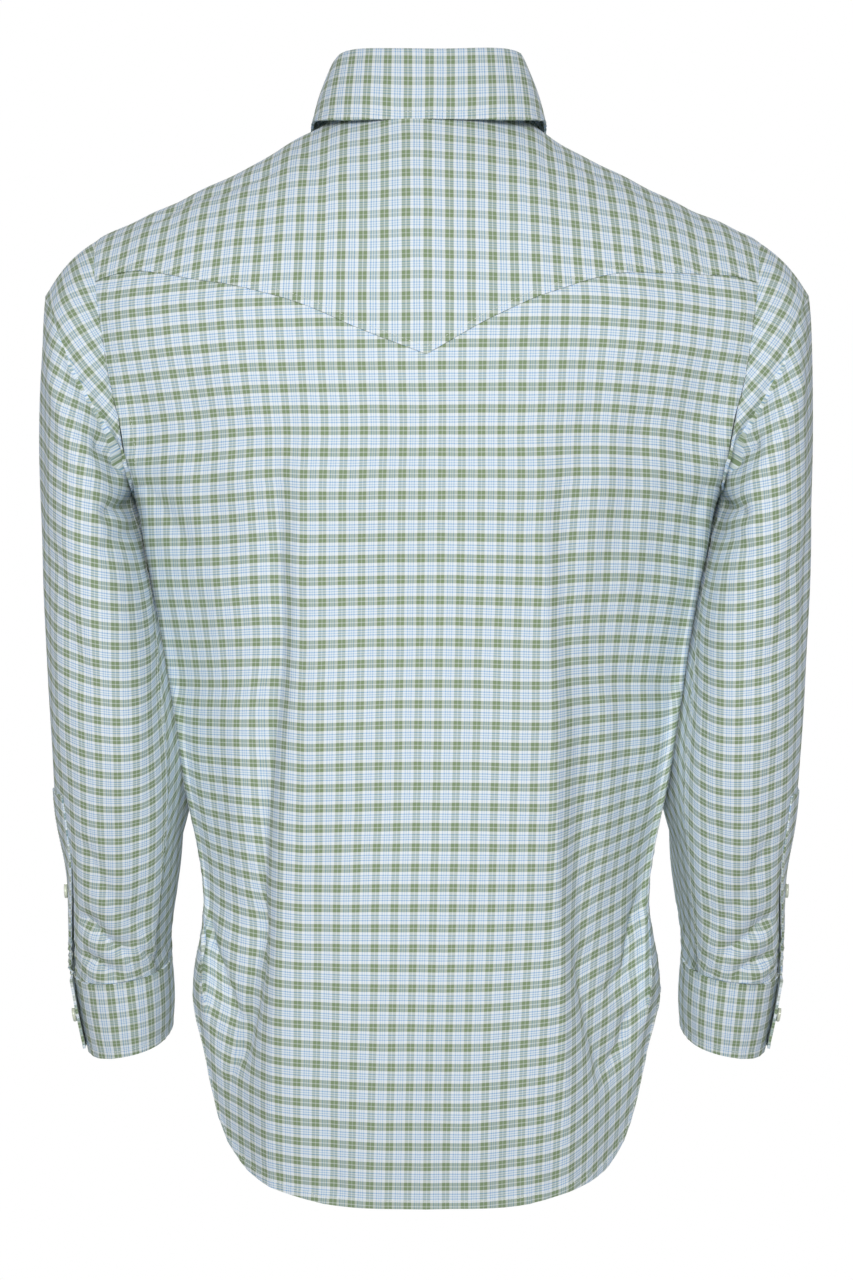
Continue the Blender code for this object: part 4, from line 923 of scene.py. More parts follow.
arm_table = ring_table(SLEEVE_ROWS)
every_step = np.linspace(0, len(SLEEVE_ROWS) - 1, 800)
outer_run = run_of(tube_rings(arm_table, every_step, np.array([1.2]))[:, 0])
arm_rows = np.linspace(0.006, outer_run[-1] - 0.002, ARM_PIECE_ROWS)
arm_run = np.concatenate([[0, 0.0012, 0.003], arm_rows, [outer_run[-1]]])
arm_steps = np.interp(arm_run, outer_run, every_step)
ring_z = (smooth(arm_table, "step", "out_z", arm_steps) + smooth(arm_table, "step", "in_z", arm_steps)) / 2
sleeves, bindings = {}, {}
for name, side, seed in (("left", 1, 101), ("right", -1, 131)):
    flip = np.array([side, 1.0, 1.0])
    loop, turns = armhole(name, flip)
    # The arm's rings, drawn in to the armhole under the arm, pressed in beside the body and sunk past the seam
    real_turns = twisted(turns, ring_z)
    arm = tube_rings(arm_table, arm_steps, real_turns)
    drawn = 0.85 * np.clip((np.abs(turns) / math.pi - 0.42) / 0.4, 0, 1) ** 1.3
    set_in = np.exp(-((arm_run - arm_run[0]) / SET_IN_REACH) ** 1.5)[:, None, None]
    arm = arm + (loop - arm[0]) * drawn[:, None] * set_in
    pressed = swell(np.radians(-135) - turns, 0.55) + swell(np.radians(225) - turns, 0.55)
    arm[..., 0] -= PRESSED_IN * pressed * np.interp(ring_z, [-0.53, -0.47, -0.24, -0.19], [0, 1, 1, 0])[:, None]
    past_seam = np.degrees(real_turns) % 360 - 180 + np.interp(ring_z, TWIST["z"], TWIST["seam"])[:, None]
    beside_body = np.interp(past_seam, [-28, -12, -3, 5, 12, 45, 85, 125], [0, 0.06, 0.20, 0.55, 0.85, 1, 0.5, 0])
    deepest, low_share = SUNK[name]
    sunk = deepest * np.interp(ring_z, [-0.63, -0.58, -0.50, -0.36, -0.30], [0.1, low_share, 0.9, 1, 0])
    arm[..., 1] -= sunk[:, None] * beside_body
    # The cap, from the armhole out to the crease
    share = (np.arange(CAP_ROWS) / CAP_ROWS)[:, None, None]
    cap = loop + (arm[0] - loop) * share
    cap = cap + CAP_PUFF * np.sin(math.pi * share) * unit(cap - cap.mean(axis=1, keepdims=True))
    cap[0] = loop
    grid = np.concatenate([cap, arm])
    normals = tube_normals(grid)
    # How the cloth lies: slanting on the cap, and shortened, sagging and slanting to the seam down the arm
    to_crease = slice(0, CAP_ROWS + 1)
    slant = np.radians(np.interp(grid[to_crease, :, 2], [-0.26, -0.20, -0.15, -0.10], [50, 43, 33, 17]))
    up_cap = np.stack([-np.cos(slant), 0 * slant, np.sin(slant)], -1)
    cap_flat = lay_flat(grid[to_crease], normals[to_crease], up_cap, 0 * slant, 0 * slant)
    hang = np.interp(arm[..., 2], [-0.40, -0.33, -0.27, -0.22, -0.20], [0, 4, 11, 22, 30])
    bend = np.radians(np.interp(ring_z, [-0.60, -0.546, -0.488, -0.415, -0.345, -0.27], [44, 41, 33, 23, 17, 5]))
    up_arm = np.stack([0.06 + 0 * bend, np.sin(bend), np.cos(bend)], -1)[:, None] + 0 * arm
    shortened = np.interp(ring_z, [-0.61, -0.56, -0.50, -0.43, -0.35, -0.29], [1.17, 1.26, 1.29, 1.22, 1.16, 1.0])
    full = np.interp(ring_z, [-0.63, -0.60, -0.56, -0.45, -0.40], [1.35, 1.25, 1.08, 1.05, 1.03])[:, None]
    eased = np.interp(ring_z, [-0.50, -0.43, -0.35, -0.28], [0.0, 0.15, 0.36, 0.36])[:, None]
    full = full * (1 - eased * np.clip(-np.cos(turns), 0, 1))
    sag = np.interp(ring_z, [-0.60, -0.55, -0.50, -0.43, -0.35, -0.28, -0.22], [0, 2, 6, 10, 14, 9, 0])[:, None]
    arm_lean = -np.radians(hang) * np.sin(turns)
    arm_climb = arm_lean - np.radians(sag) * np.sin(turns) * (1 - 0.8 * np.cos(turns))
    arm_flat = lay_flat(arm, tube_normals(arm), up_arm, arm_climb, arm_lean, (full, shortened[:, None]))
    top = int(np.argmin(np.abs(turns)))
    cap_flat -= cap_flat[-1, top]
    arm_flat -= arm_flat[0, top]
    # Folds, kept shallow where the sleeve is seen edge on, and the crease between cap and arm
    relief = 0 * grid[..., 0]
    half_seen = np.sin(real_turns)[..., None] * np.array([0.0, 1.0, 0.0])
    for face in (1, -1):
        folds = [fold[1:] for fold in SLEEVE_FOLDS if fold[0] == face]
        relief[CAP_ROWS:] += fold_relief(arm, half_seen, arm_flat, folds, face)
    all_turns = np.concatenate([np.repeat(turns[None], CAP_ROWS, axis=0), real_turns])
    relief *= np.where(np.cos(all_turns) > 0, np.clip(np.abs(np.sin(all_turns)) * 2.2, 0.15, 1), 1)
    down, across = edge_runs(grid)
    relief *= np.clip(down / 0.006, 0, 1)
    from_crease = down - down[CAP_ROWS]
    deep = CREASE_DEPTH * np.clip(np.abs(np.sin(turns)) * 1.5 - 0.45, 0, 1)
    relief -= deep * np.exp(-(np.abs(from_crease) / np.where(from_crease < 0, 0.008, 0.014)))
    # Drape, the armhole's seam, the gathers above the cuff and the seam under the arm
    all_flat = np.concatenate([cap_flat[:-1], arm_flat])
    draped = drape(all_flat, seed, SLEEVE_DRAPE_WIDTH, SLEEVE_DRAPE_LENGTH)
    relief += SLEEVE_DRAPE * draped * np.clip(down / 0.02, 0, 1)
    relief += sewn_in(down, across, seed + 1, (0.0002, 0.003), (0.0006, 0.010, 0.012))
    from_cuff = down[-1] - down
    gathers = puckers(across + 0.3 * from_cuff, GATHER_PITCH, seed + 2) * swell(from_cuff, GATHER_REACH)
    relief += GATHER_DEPTH * gathers * np.clip(from_cuff / 0.004, 0.15, 1)
    relief += sewn_in(nearer_side(across), down, seed + 3, (0.0007, 0.0028), (0.0005, 0.012, 0.010))
    grid = grid + normals * relief[..., None]
    # The slit, whose column is doubled: its edges part towards the cuff, and the one behind stands off
    slit = int(np.argmin(np.abs(turns - math.radians(SLIT_TURN))))
    opened = np.clip((SLIT_TOP_Z - grid[:, slit, 2]) / (SLIT_TOP_Z - grid[-1, slit, 2]), 0, 1)
    joined = int(np.sum(opened <= 0))
    near = swell(turns - turns[slit], 0.16)[:, None]
    parted = unit(np.gradient(grid, axis=1)[:, slit])[:, None] * (SLIT_OPEN / 2 * opened)[:, None, None] * near
    behind = grid - parted + normals * (SLIT_LIFT * opened)[:, None, None] * near
    grid = np.concatenate([behind[:, : slit + 1], (grid + parted)[:, slit:]], axis=1)
    grid[:, -1] = grid[:, 0]
    arm_flat = arm_flat + np.array([0.0, CHECK_DROP])
    cap_flat, arm_flat, all_flat, normals = (
        np.concatenate([part[:, : slit + 1], part[:, slit:]], axis=1)
        for part in (cap_flat, arm_flat, all_flat, normals)
    )
    around = (side * SLEEVE_MIDDLE, 0.0)
    corners = np.concatenate([corner_places(cap_flat), corner_places(arm_flat)])
    welds = [(0, grid.shape[1] - 1, slice(None)), (slit, slit + 1, slice(0, joined))]
    sleeve = tailor("sleeve_panel_" + name, grid * flip, corners, CLOTH, plaid, around, welds, gaps=(slit,))
    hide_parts("sleeve_" + name)
    state_cut(grid, ["back_panel", "yoke", "cuff_band_" + name])
    sleeves[name] = (grid * flip, normals * flip, turns[slit])
    # The placket strip that binds the slit's edge, felled on and squared off above it
    width = int(round(BINDING_WIDTH / np.linalg.norm(grid[-10, slit] - grid[-10, slit - 1])))
    strip = (slice(joined - 6, None), slice(slit - width, slit + 1))
    band, band_normals = grid[strip] + normals[strip] * BINDING_PROUD, normals[strip]
    corners = corner_places(all_flat[strip] + np.array([0.004, 0.0]))
    binding = tailor("slit_placket_" + name, band * flip, corners, BINDING_THICKNESS, plaid, around)
    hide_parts("sleeve_placket_" + name)
    state_cut(band, ["sleeve_panel_" + name])
    bindings[name] = (band * flip, band_normals * flip)

# --- The cuffs ---
# A doubled, stiffened band cut across the grain. Its ends lap behind the wrist, where the outer one stands off.
CUFF_ROWS = [
    (0.2690, -0.6324, 0.1962, -0.6234, -0.0431, 0.0475, 15.0),
    (0.2652, -0.662, 0.1950, -0.654, -0.0515, 0.0460, 15.0),
    (0.2600, -0.6915, 0.1965, -0.679, -0.0597, 0.0450, 15.0),
]
CUFF_THICKNESS, CUFF_MIDDLE = 0.0020, (0.2315, -0.052)
CUFF_LAP = math.radians(14)
CUFF_PROUD, NEAR_LAP_PROUD, LAP_PROUD, LAP_RISE = 0.0012, 0.0018, 0.0055, 0.0065
CUFF_SPREAD = (1.25, 1.04)  # how much more of the check the cuff shows each way than its own size
EDGE_STITCH = 0.006  # how far from an edge its topstitching sinks in
cuff_table = ring_table(CUFF_ROWS)
cuffs = {}
for name, side in (("left", 1), ("right", -1)):
    flip = np.array([side, 1.0, 1.0])
    passed = (FULL_TURN + 2 * CUFF_LAP) * close_edged(0.004, 0.012, 128)
    turns = sleeves[name][2] + CUFF_LAP - passed
    steps = 2 * close_edged(0.012, 0.05, 14)
    grid = tube_rings(cuff_table, steps, turns)
    middle = tube_rings(cuff_table, steps, np.array([0.0, math.pi])).mean(axis=1, keepdims=True)
    lapping = np.clip(1 - passed / (2 * CUFF_LAP), 0, 1)
    proud = NEAR_LAP_PROUD * np.clip((6 * CUFF_LAP - passed) / (4 * CUFF_LAP), 0, 1)
    proud = proud + LAP_PROUD * lapping**2 + CUFF_PROUD
    grid = grid + unit(grid - middle) * proud[:, None]
    grid[..., 2] += LAP_RISE * (steps / 2)[:, None] * lapping
    down, across = edge_runs(grid)
    flat = np.stack([across.mean(axis=0) + 0 * across, down], -1)
    normals = grid_normals(grid, middle)
    from_edge = np.minimum(np.minimum(down, down[-1] - down), nearer_side(across))
    relief = sewn_in(from_edge, across, 7, (0.0004, 0.0018), (0.0003, 0.012, 0.010), EDGE_STITCH)
    relief += 0.0005 * drape(flat, 9, 0.05, 0.2)
    grid = grid + normals * relief[..., None]
    around = (side * CUFF_MIDDLE[0], CUFF_MIDDLE[1])
    corners = corner_places(flat[..., ::-1] * CUFF_SPREAD)
    cuff = tailor("cuff_band_" + name, grid * flip, corners, CUFF_THICKNESS, plaid, around)
    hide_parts("cuff_" + name)
    state_cut(grid, ["sleeve_panel_" + name])
    cuffs[name] = (grid * flip, normals * flip)

# --- The collar ---
# A stand that buttons round the neck and a pointed leaf that folds down over it, both stiffened and cut across
# the grain like the yoke.
STAND_THICKNESS, LEAF_THICKNESS = 0.0016, 0.0018
SETTLED = 0.0038  # the collar has settled a little towards the wearer's right at the back
STAND_BACK, STAND_FRONT, STAND_SIDE_RISE, STAND_LEAN, FRONT_LEAN = 0.0445, 0.032, 0.004, 0.011, 0.003
LEAF_SPREAD, LEAF_SHIFT = (0.84, 0.965), (0.0032, 0.0060)  # how its check lies: down the leaf, and round it
LEAF = {
    "turn": [0.0, 40.0, 65.0, 85.0, 105.0, 125.0, 148.0, 172.0],
    "x": [0.000, 0.0555, 0.0790, 0.0877, 0.0895, 0.0840, 0.0690, 0.0480],
    "y": [0.0720, 0.0610, 0.0405, 0.014, -0.026, -0.068, -0.091, -0.104],
    "z": [0.0034, 0.004, 0.0065, 0.0085, 0.002, -0.032, -0.067, -0.102],
}


def through(points, places):
    """A smooth curve (Catmull-Rom) through rows of points, read at fractional row places."""
    padded = np.concatenate([2 * points[:1] - points[1:2], points, 2 * points[-1:] - points[-2:-1]])
    k = np.clip(np.floor(places).astype(int), 0, len(points) - 2)
    t = (places - k).reshape(-1, *[1] * (points.ndim - 1))
    a, b, c, d = (padded[k + n] for n in range(4))
    return 0.5 * (2 * b + (c - a) * t + (2 * a - 5 * b + 4 * c - d) * t**2 + (3 * b - a - 3 * c + d) * t**3)


near = PLACKET_COLUMNS + NECK_COLUMNS + 1
back_neck = whole_back[-1, MIDDLE_COLUMN - NECK_COLUMNS + 1 : MIDDLE_COLUMN + NECK_COLUMNS][::-1]
neckline = np.concatenate([fronts["left"][0][-1, :near], back_neck, fronts["right"][0][-1, :near][::-1]])
turns = np.unwrap(np.arctan2(neckline[:, 0] / NECK_HALF_WIDTH, neckline[:, 1] / NECK_BACK))
turns = turns - turns[len(turns) // 2]
turns = turns * np.sign(turns[0])
even = np.linspace(turns[0], turns[-1], 170)
low = np.stack([np.interp(-even, -turns, neckline[:, k]) for k in range(3)], 1)
radial = unit(low * LEVEL)
frontness = (1 - np.cos(even)) / 2
height = STAND_BACK + (STAND_FRONT - STAND_BACK) * frontness**1.5 + STAND_SIDE_RISE * np.sin(even) ** 2
lean = STAND_LEAN * (1 - frontness) + FRONT_LEAN * frontness
tucked = 0.0018 * np.clip((-even / math.pi - 0.84) / 0.10, 0, 1)
low = low - radial * tucked[:, None] + UP * 0.0006
top_edge = low + UP * height[:, None] - radial * lean[:, None]
top_edge[:, 0] -= SETTLED * (1 - frontness)
level_top = np.polynomial.Polynomial.fit(even, top_edge[:, 2], 6)(even)
top_edge[:, 2] = level_top + (top_edge[:, 2] - level_top) * np.clip((np.abs(even) - 2.3) / 0.5, 0, 1)
stand_grid = low + (top_edge - low) * close_edged(0.02, 0.08, 9)[:, None, None]
stand_normals = grid_normals(stand_grid, stand_grid * UP)
stand_places = np.stack(edge_runs(stand_grid), -1)
stand = tailor("stand", stand_grid, corner_places(stand_places), STAND_THICKNESS, plaid)
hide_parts("collar_stand")
state_cut(stand_grid, ["yoke", "front_panel_left", "front_panel_right"])

leaf_end = math.radians(172)
around = np.concatenate([np.linspace(-leaf_end, leaf_end, 190), [leaf_end - 0.008, 0.008 - leaf_end]])
around = np.sort(around)[::-1]
edge = np.stack([np.interp(-around, -even, top_edge[:, k]) for k in range(3)], 1)
out = unit(edge * LEVEL)
hem = np.stack([smooth(LEAF, "turn", axis, np.degrees(np.abs(around))) for axis in "xyz"], 1)
hem[:, 0] = hem[:, 0] * np.sign(around) - SETTLED * (1 + np.cos(around)) / 2
fold = edge + out * 0.0055 + UP * 0.0015
profile = [edge + out * away + UP * up for away, up in ((-0.0012, 0.0006), (0.0004, 0.0030), (0.0030, 0.0034))]
for share in (0.0, 0.15, 0.3, 0.5, 0.65, 0.85, 1.0):
    profile.append(fold + (hem - fold) * share + out * 0.0015 * math.sin(math.pi * share))
leaf_grid = through(np.array(profile), np.concatenate([[0, 0.3], np.linspace(0.6, 8.7, 30), [8.85, 8.97, 9]]))
down, across = edge_runs(leaf_grid)
leaf_normals = grid_normals(leaf_grid, leaf_grid * UP)
from_edge = np.minimum(down[-1] - down, nearer_side(across))
relief = sewn_in(from_edge, across, 21, (0.0004, 0.0016), (0.0003, 0.011, 0.009), EDGE_STITCH)
leaf_grid = leaf_grid + leaf_normals * relief[..., None]
from_middle = across - across[:, len(around) // 2][:, None]
leaf_places = np.stack([down * LEAF_SPREAD[0] + LEAF_SHIFT[0], from_middle * LEAF_SPREAD[1] + LEAF_SHIFT[1]], -1)
leaf = tailor("leaf", leaf_grid, corner_places(leaf_places), LEAF_THICKNESS, plaid)
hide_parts("collar_leaf")
state_cut(leaf_grid, ["stand"])

# --- The front placket ---
# A folded strip on the left front's edge, stitched down both its sides. It carries the buttonholes.
PLACKET_THICKNESS, PLACKET_PROUD = 0.0015, 0.0019
front_grid, front_normals, front_flat = fronts["left"]
strip_x = (close_edged(0.01, 0.04, 13) - 0.5) * PLACKET_WIDTH


def along_rows(values):
    """The front's values at the strip's places, row by row."""
    rows = []
    for row, line in zip(front_grid, values):
        rows.append(np.stack([np.interp(strip_x, row[:, 0], line[:, k]) for k in range(values.shape[-1])], -1))
    return np.stack(rows)


placket_normals = unit(along_rows(front_normals))
placket_grid, placket_flat = along_rows(front_grid), along_rows(front_flat)
placket_grid[..., 0] = strip_x
edge = PLACKET_WIDTH / 2 - np.abs(strip_x)
raised = sewn_in(edge, placket_grid[..., 2], 61, (0.0003, 0.0015), (0.0004, 0.012, 0.008), EDGE_STITCH)
placket_grid = placket_grid + placket_normals * (PLACKET_PROUD + raised)[..., None]
placket = tailor("button_strip", placket_grid, corner_places(placket_flat), PLACKET_THICKNESS, plaid)
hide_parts("front_placket")
state_cut(placket_grid, ["front_panel_left"])

# --- The stitching ---
# Lockstitches of pale thread beside every seam and edge. Geometry Nodes set a stitch at each step along the lines.
thread = Finish("sewing_thread")
ply = thread.node("TexNoise", {}, {"Vector": thread.node("TexCoord", {}, {}, 3), "Scale": 2200.0, "Detail": 1.0})
thread.surface(Base_Color=mix(thread, ply, (0.66, 0.72, 0.66), (0.90, 0.92, 0.90)), Roughness=0.7)
STITCH = {"Pitch": 0.0030, "Stitch length": 0.0022, "Thread width": 0.00045, "Thread": thread.material}
THREAD_PROUD = 0.00012
HEM_LINE, SIDE_LINE, FELLED_LINE, EDGE_LINE = 0.0055, 0.0060, 0.0100, 0.0052  # distances from the cloth's edges
SHOULDER_LINE, SLEEVE_HEM_LINE, BINDING_LINE, STAND_LINE = 0.0015, 0.0045, 0.0016, 0.0020


def stitching_tree():
    tree = bpy.data.node_groups.new("stitching", "GeometryNodeTree")
    tree.interface.new_socket("Geometry", in_out="INPUT", socket_type="NodeSocketGeometry")
    for label in ("Pitch", "Stitch length", "Thread width"):
        tree.interface.new_socket(label, in_out="INPUT", socket_type="NodeSocketFloat")
    tree.interface.new_socket("Thread", in_out="INPUT", socket_type="NodeSocketMaterial")
    tree.interface.new_socket("Geometry", in_out="OUTPUT", socket_type="NodeSocketGeometry")

    def put(kind, **links):
        made = tree.nodes.new(kind)
        for key, value in links.items():
            socket = made.inputs[key.replace("_", " ")]
            if isinstance(value, bpy.types.NodeSocket):
                tree.links.new(value, socket)
            else:
                socket.default_value = value
        return made

    given = put("NodeGroupInput").outputs
    lines = put("GeometryNodeMeshToCurve", Mesh=given["Geometry"])
    evened = tree.nodes.new("GeometryNodeResampleCurve")
    evened.mode = "LENGTH"
    tree.links.new(lines.outputs["Curve"], evened.inputs["Curve"])
    tree.links.new(given["Pitch"], evened.inputs["Length"])
    bead = put("GeometryNodeMeshUVSphere", Segments=6, Rings=4, Radius=0.5)
    turned = put("FunctionNodeAlignRotationToVector", Vector=put("GeometryNodeInputTangent").outputs["Tangent"])
    turned.axis = "Z"
    size = put("ShaderNodeCombineXYZ", X=given["Thread width"], Y=given["Thread width"], Z=given["Stitch length"])
    placed = put(
        "GeometryNodeInstanceOnPoints",
        Points=evened.outputs["Curve"],
        Instance=bead.outputs["Mesh"],
        Rotation=turned.outputs["Rotation"],
        Scale=size.outputs["Vector"],
    )
    joined = put("GeometryNodeRealizeInstances", Geometry=placed.outputs["Instances"])
    rounded = put("GeometryNodeSetShadeSmooth", Geometry=joined.outputs["Geometry"])
    coloured = put("GeometryNodeSetMaterial", Geometry=rounded.outputs["Geometry"], Material=given["Thread"])
    put("NodeGroupOutput", Geometry=coloured.outputs["Geometry"])
    return tree


def beside(grid, normals, distance, edge, trim=2):
    """A line that follows one edge of a grid at a distance, just proud of the cloth."""
    if edge in ("first", "last"):
        grid, normals = grid.swapaxes(0, 1), normals.swapaxes(0, 1)
    if edge in ("high", "last"):
        grid, normals = grid[::-1], normals[::-1]
    run, columns = edge_runs(grid)[0], np.arange(grid.shape[1])
    places = np.array([np.interp(distance, run[:, c], np.arange(len(run))) for c in columns])
    low = np.clip(places.astype(int), 0, len(run) - 2)
    share = (places - low)[:, None]
    points = grid[low, columns] * (1 - share) + grid[low + 1, columns] * share
    return (points + normals[low, columns] * THREAD_PROUD)[trim : len(points) - trim]


def sew(name, lines):
    """One piece of stitches along the given lines."""
    places, edges = [], []
    for line in lines:
        edges += [(len(places) + k, len(places) + k + 1) for k in range(len(line) - 1)]
        places += line.tolist()
    mesh = bpy.data.meshes.new(name)
    mesh.from_pydata(places, edges, [])
    guide = put_in_scene(name + "_lines", mesh)
    modifier = guide.modifiers.new("stitching", "NODES")
    modifier.node_group = lockstitch
    for item in lockstitch.interface.items_tree:
        if item.name in STITCH:
            modifier[item.identifier] = STITCH[item.name]
    sewn = bpy.data.meshes.new_from_object(guide.evaluated_get(bpy.context.evaluated_depsgraph_get()))
    bpy.data.objects.remove(guide)
    piece = put_in_scene(name, sewn)
    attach(piece, "root")
    return piece


lockstitch = stitching_tree()
yoke_face, placket_face = (sewn_yoke, yoke_normals), (placket_grid, placket_normals)
lines = [beside(*yoke_face, EDGE_LINE, "low"), beside(*yoke_face, SHOULDER_LINE, "high")]
for face in ((back_grid, back_normals), fronts["left"][:2], fronts["right"][:2]):
    lines.append(beside(*face, HEM_LINE, "low"))
for edge in ("first", "last"):
    lines.append(beside(back_grid[:BODY_ROWS], back_normals[:BODY_ROWS], SIDE_LINE, edge))
    lines.append(beside(back_grid[BODY_ROWS:], back_normals[BODY_ROWS:], FELLED_LINE, edge, 1))
    lines.append(beside(*yoke_face, FELLED_LINE, edge, 1))
    lines.append(beside(*placket_face, SIDE_LINE, edge))
for grid, normals, _ in fronts.values():
    lines.append(beside(grid[BODY_ROWS:], normals[BODY_ROWS:], FELLED_LINE, "last", 1))
sew("body_stitches", lines)
lines = []
for name in ("left", "right"):
    grid, normals, _ = sleeves[name]
    lines.append(beside(grid[3:], normals[3:], SLEEVE_HEM_LINE, "last"))
    lines += [beside(*cuffs[name], EDGE_LINE, edge, 4) for edge in ("low", "high", "first", "last")]
    lines += [beside(*bindings[name], BINDING_LINE, edge) for edge in ("first", "last")]
sew("sleeve_stitches", lines)
lines = [beside(leaf_grid, leaf_normals, HEM_LINE, edge, 5) for edge in ("first", "last", "high")]
sew("collar_stitches", [*lines, beside(stand_grid, stand_normals, STAND_LINE, "low")])

# --- The buttons ---
# Pale pearl buttons with a raised rim and four holes, sewn on with two bars of thread. The holes they pass
# through are worked in thread: a bar down each side and one across each end.
BUTTON_PROFILE = [  # radius and height, from the middle of the dish round the rim to the middle of the back
    (0.0000, 0.0004), (0.0028, 0.0005), (0.0036, 0.0009), (0.0043, 0.0013), (0.0050, 0.0013),
    (0.0055, 0.0009), (0.0056, 0.0001), (0.0052, -0.0009), (0.0042, -0.0013), (0.0000, -0.0013),
]
HOLE_PLACE, HOLE_RADIUS, BUTTON_REST, SHANK_HEIGHT = 0.0011, 0.00055, 0.0016, 0.0007
FRONT_BUTTONS_Z = [-0.105, -0.195, -0.285, -0.375, -0.465, -0.555, -0.645]
SLEEVE_BUTTON_Z, CUFF_BUTTON_IN = -0.572, 0.013
COLLAR_ROW, CUFF_ROW = 6, 9  # the rows half way up the stand and the cuff
HOLE_SIDE, HOLE_END = 0.00075, 0.0071  # from a buttonhole's middle to its bars
# Half sizes of the bars: through the button, down a buttonhole's side and across its end
SHANK_BAR, SIDE_BAR, END_BAR = (0.0016, 0.00042, 0.00045), (0.00055, 0.0072, 0.00028), (0.0014, 0.00055, 0.00032)
pearl = Finish("pearl_button")
spot = pearl.node("TexCoord", {}, {}, 3)
cloudy = pearl.node("TexNoise", {}, {"Vector": spot, "Scale": 260.0, "Detail": 3.0, "Distortion": 1.2})
pearl.surface(
    Base_Color=mix(pearl, cloudy, (0.62, 0.68, 0.50), (0.84, 0.86, 0.74)),
    Roughness=cloudy * 0.2 + 0.18,
    Normal=pearl.node("Bump", {}, {"Distance": 1.0, "Height": cloudy * 0.00005}),
    Coat_Weight=0.4,
)


def turned_button():
    """One button about its own middle, +Z outwards, with its four holes cut through."""
    shape = bmesh.new()
    ring = [shape.verts.new((radius, 0.0, height)) for radius, height in BUTTON_PROFILE]
    edges = [shape.edges.new(pair) for pair in zip(ring, ring[1:])]
    bmesh.ops.spin(shape, geom=ring + edges, axis=(0, 0, 1), cent=(0, 0, 0), angle=FULL_TURN, steps=40)
    bmesh.ops.remove_doubles(shape, verts=shape.verts[:], dist=0.00001)
    bmesh.ops.recalc_face_normals(shape, faces=shape.faces[:])
    disc = bpy.data.meshes.new("disc")
    shape.to_mesh(disc)
    shape.clear()
    for x in (-HOLE_PLACE, HOLE_PLACE):
        for y in (-HOLE_PLACE, HOLE_PLACE):
            size = {"segments": 12, "radius1": HOLE_RADIUS, "radius2": HOLE_RADIUS, "depth": 0.01}
            bmesh.ops.create_cone(shape, cap_ends=True, matrix=Matrix.Translation((x, y, 0.0)), **size)
    drills = bpy.data.meshes.new("drills")
    shape.to_mesh(drills)
    shape.free()
    blank, bits = (put_in_scene(mesh.name, mesh) for mesh in (disc, drills))
    cut = blank.modifiers.new("holes", "BOOLEAN")
    cut.operation, cut.object = "DIFFERENCE", bits
    made = bpy.data.meshes.new_from_object(blank.evaluated_get(bpy.context.evaluated_depsgraph_get()))
    for thing in (blank, bits):
        bpy.data.objects.remove(thing)
    made.materials.clear()
    made.materials.append(pearl.material)
    made.shade_smooth()
    made.set_sharp_from_angle(angle=math.radians(40))
    return made


def standing(place, outwards):
    """A button's frame: Z outwards from the cloth, Y as near to upright as it goes."""
    z = Vector(outwards).normalized()
    x = Vector(UP).cross(z).normalized()
    return Matrix.Translation(Vector(place)) @ Matrix((x, z.cross(x), z)).transposed().to_4x4()


pattern = turned_button()
spots = {}  # each button's place on the cloth, the way outwards there, and whether its buttonhole is upright
for number, z in enumerate(FRONT_BUTTONS_Z, 1):
    at = (int(np.argmin(np.abs(placket_grid[:, len(strip_x) // 2, 2] - z))), len(strip_x) // 2)
    spots[f"front_button_{number}"] = (placket_grid[at], placket_normals[at], True)
at = (COLLAR_ROW, int(np.argmin(np.abs(stand_grid[COLLAR_ROW, :40, 0]))))
spots["collar_button"] = (stand_grid[at], stand_normals[at], False)
for name in ("left", "right"):
    (cuff_grid, cuff_normals), (band, band_normals) = cuffs[name], bindings[name]
    at = (CUFF_ROW, int(np.argmin(np.abs(edge_runs(cuff_grid)[1][CUFF_ROW] - CUFF_BUTTON_IN))))
    spots["cuff_button_" + name] = (cuff_grid[at], cuff_normals[at], False)
    at = (int(np.argmin(np.abs(band[:, 1, 2] - SLEEVE_BUTTON_Z))), 1)
    spots["sleeve_button_" + name] = (band[at], band_normals[at], True)
worked = bmesh.new()


def work_bar(stands, middle, size):
    """A bar of thread: a flat bead about a place in a button's frame, with the given half sizes."""
    place = stands @ Matrix.Translation(middle) @ Matrix.Diagonal((*size, 1.0))
    bmesh.ops.create_uvsphere(worked, u_segments=12, v_segments=8, radius=1.0, matrix=place)


for name, (place, outwards, upright) in spots.items():
    stands = standing(place + outwards * BUTTON_REST, outwards)
    mesh = pattern.copy()
    mesh.transform(stands)
    button = put_in_scene(name.replace("button", "pearl"), mesh)
    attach(button, "root")
    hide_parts(name)
    hole = standing(place + outwards * 0.0001, outwards) @ Matrix.Rotation(0 if upright else math.pi / 2, 4, "Z")
    for way in (-1, 1):
        work_bar(stands, (0.0, way * HOLE_PLACE, SHANK_HEIGHT), SHANK_BAR)
        work_bar(hole, (way * HOLE_SIDE, 0.0, 0.0), SIDE_BAR)
        work_bar(hole, (0.0, way * HOLE_END, 0.0), END_BAR)
sewing = bpy.data.meshes.new("button_threads")
worked.to_mesh(sewing)
worked.free()
sewing.materials.append(thread.material)
sewing.shade_smooth()
threads = put_in_scene("button_threads", sewing)
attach(threads, "root")

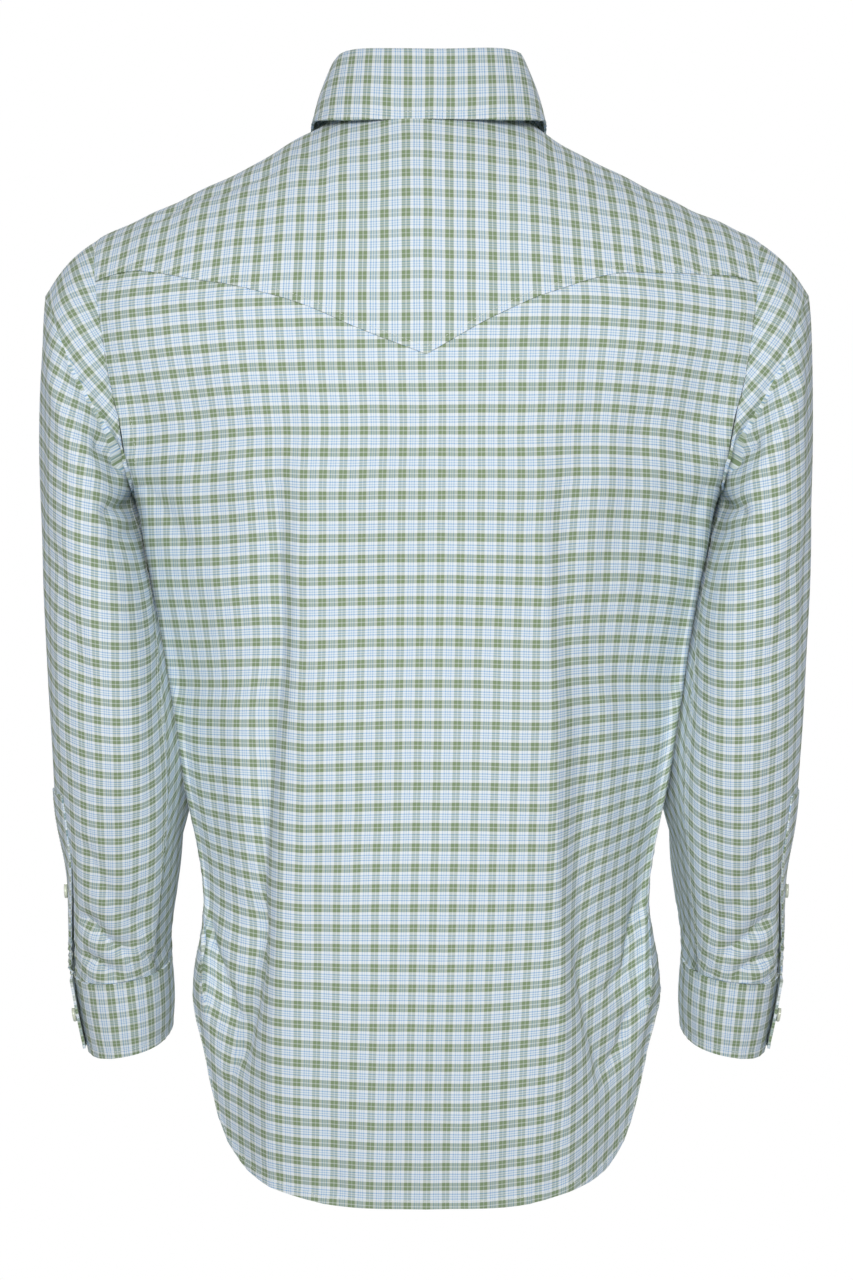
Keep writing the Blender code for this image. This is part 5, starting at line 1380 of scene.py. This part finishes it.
# --- Floor, light and camera ---
# A pale floor well below the shirt, which hangs free, soft studio light all round, and a camera square on to the
# back at the middle of its height.
FLOOR_HALF, FLOOR_Z = 4, -1.6
AIM, FILL_LIGHT = Vector((0, 0, -0.35)), 0.28
FOCAL_LENGTH, FILM_SIDE, CAMERA_AWAY, CAMERA_Z = 111.75, 36.0, 3.0, -0.381
floor_mesh = bpy.data.meshes.new("floor")
corners = [(x * FLOOR_HALF, y * FLOOR_HALF, FLOOR_Z) for x, y in ((-1, -1), (1, -1), (1, 1), (-1, 1))]
floor_mesh.from_pydata(corners, [], [(0, 1, 2, 3)])
floor = put_in_scene("floor", floor_mesh)
pale = Finish("pale_floor")
pale.surface(Base_Color=(0.9, 0.9, 0.9), Roughness=0.9)
floor_mesh.materials.append(pale.material)

world = bpy.data.worlds.new("studio")
bpy.context.scene.world = world
world.use_nodes = True
background = world.node_tree.nodes["Background"]
seen = world.node_tree.nodes.new("ShaderNodeLightPath")
strength = world.node_tree.nodes.new("ShaderNodeMapRange")
strength.inputs["To Min"].default_value, strength.inputs["To Max"].default_value = FILL_LIGHT, 1.0
world.node_tree.links.new(seen.outputs["Is Camera Ray"], strength.inputs["Value"])
world.node_tree.links.new(strength.outputs["Result"], background.inputs["Strength"])
background.inputs["Color"].default_value = (1.0, 1.0, 1.0, 1.0)
for name, place, size, power, spread in (
    ("key", (0.2, 3.4, 0.55), 1.0, 5.15, 39),
    ("left_rim", (3.2, -0.8, 0.4), 1.6, 7.0, 180),
    ("right_rim", (-3.2, -0.8, 0.4), 1.6, 12.0, 180),
    ("front", (0.0, -3.6, 0.8), 2.4, 65.0, 180),
):
    lamp = bpy.data.lights.new(name, "AREA")
    lamp.size, lamp.energy, lamp.spread = size, power, math.radians(spread)
    holder = put_in_scene(name, lamp)
    holder.location = place
    holder.rotation_euler = (AIM - Vector(place)).to_track_quat("-Z", "Y").to_euler()

lens = bpy.data.cameras.new("camera")
lens.sensor_fit, lens.sensor_height, lens.sensor_width = "VERTICAL", FILM_SIDE, FILM_SIDE
lens.lens = FOCAL_LENGTH
camera = put_in_scene("camera", lens)
camera.location = (0.0, CAMERA_AWAY, CAMERA_Z)
camera.rotation_euler = (math.pi / 2, 0.0, math.pi)
bpy.context.scene.camera = camera
bpy.context.scene.view_settings.view_transform = "Standard"
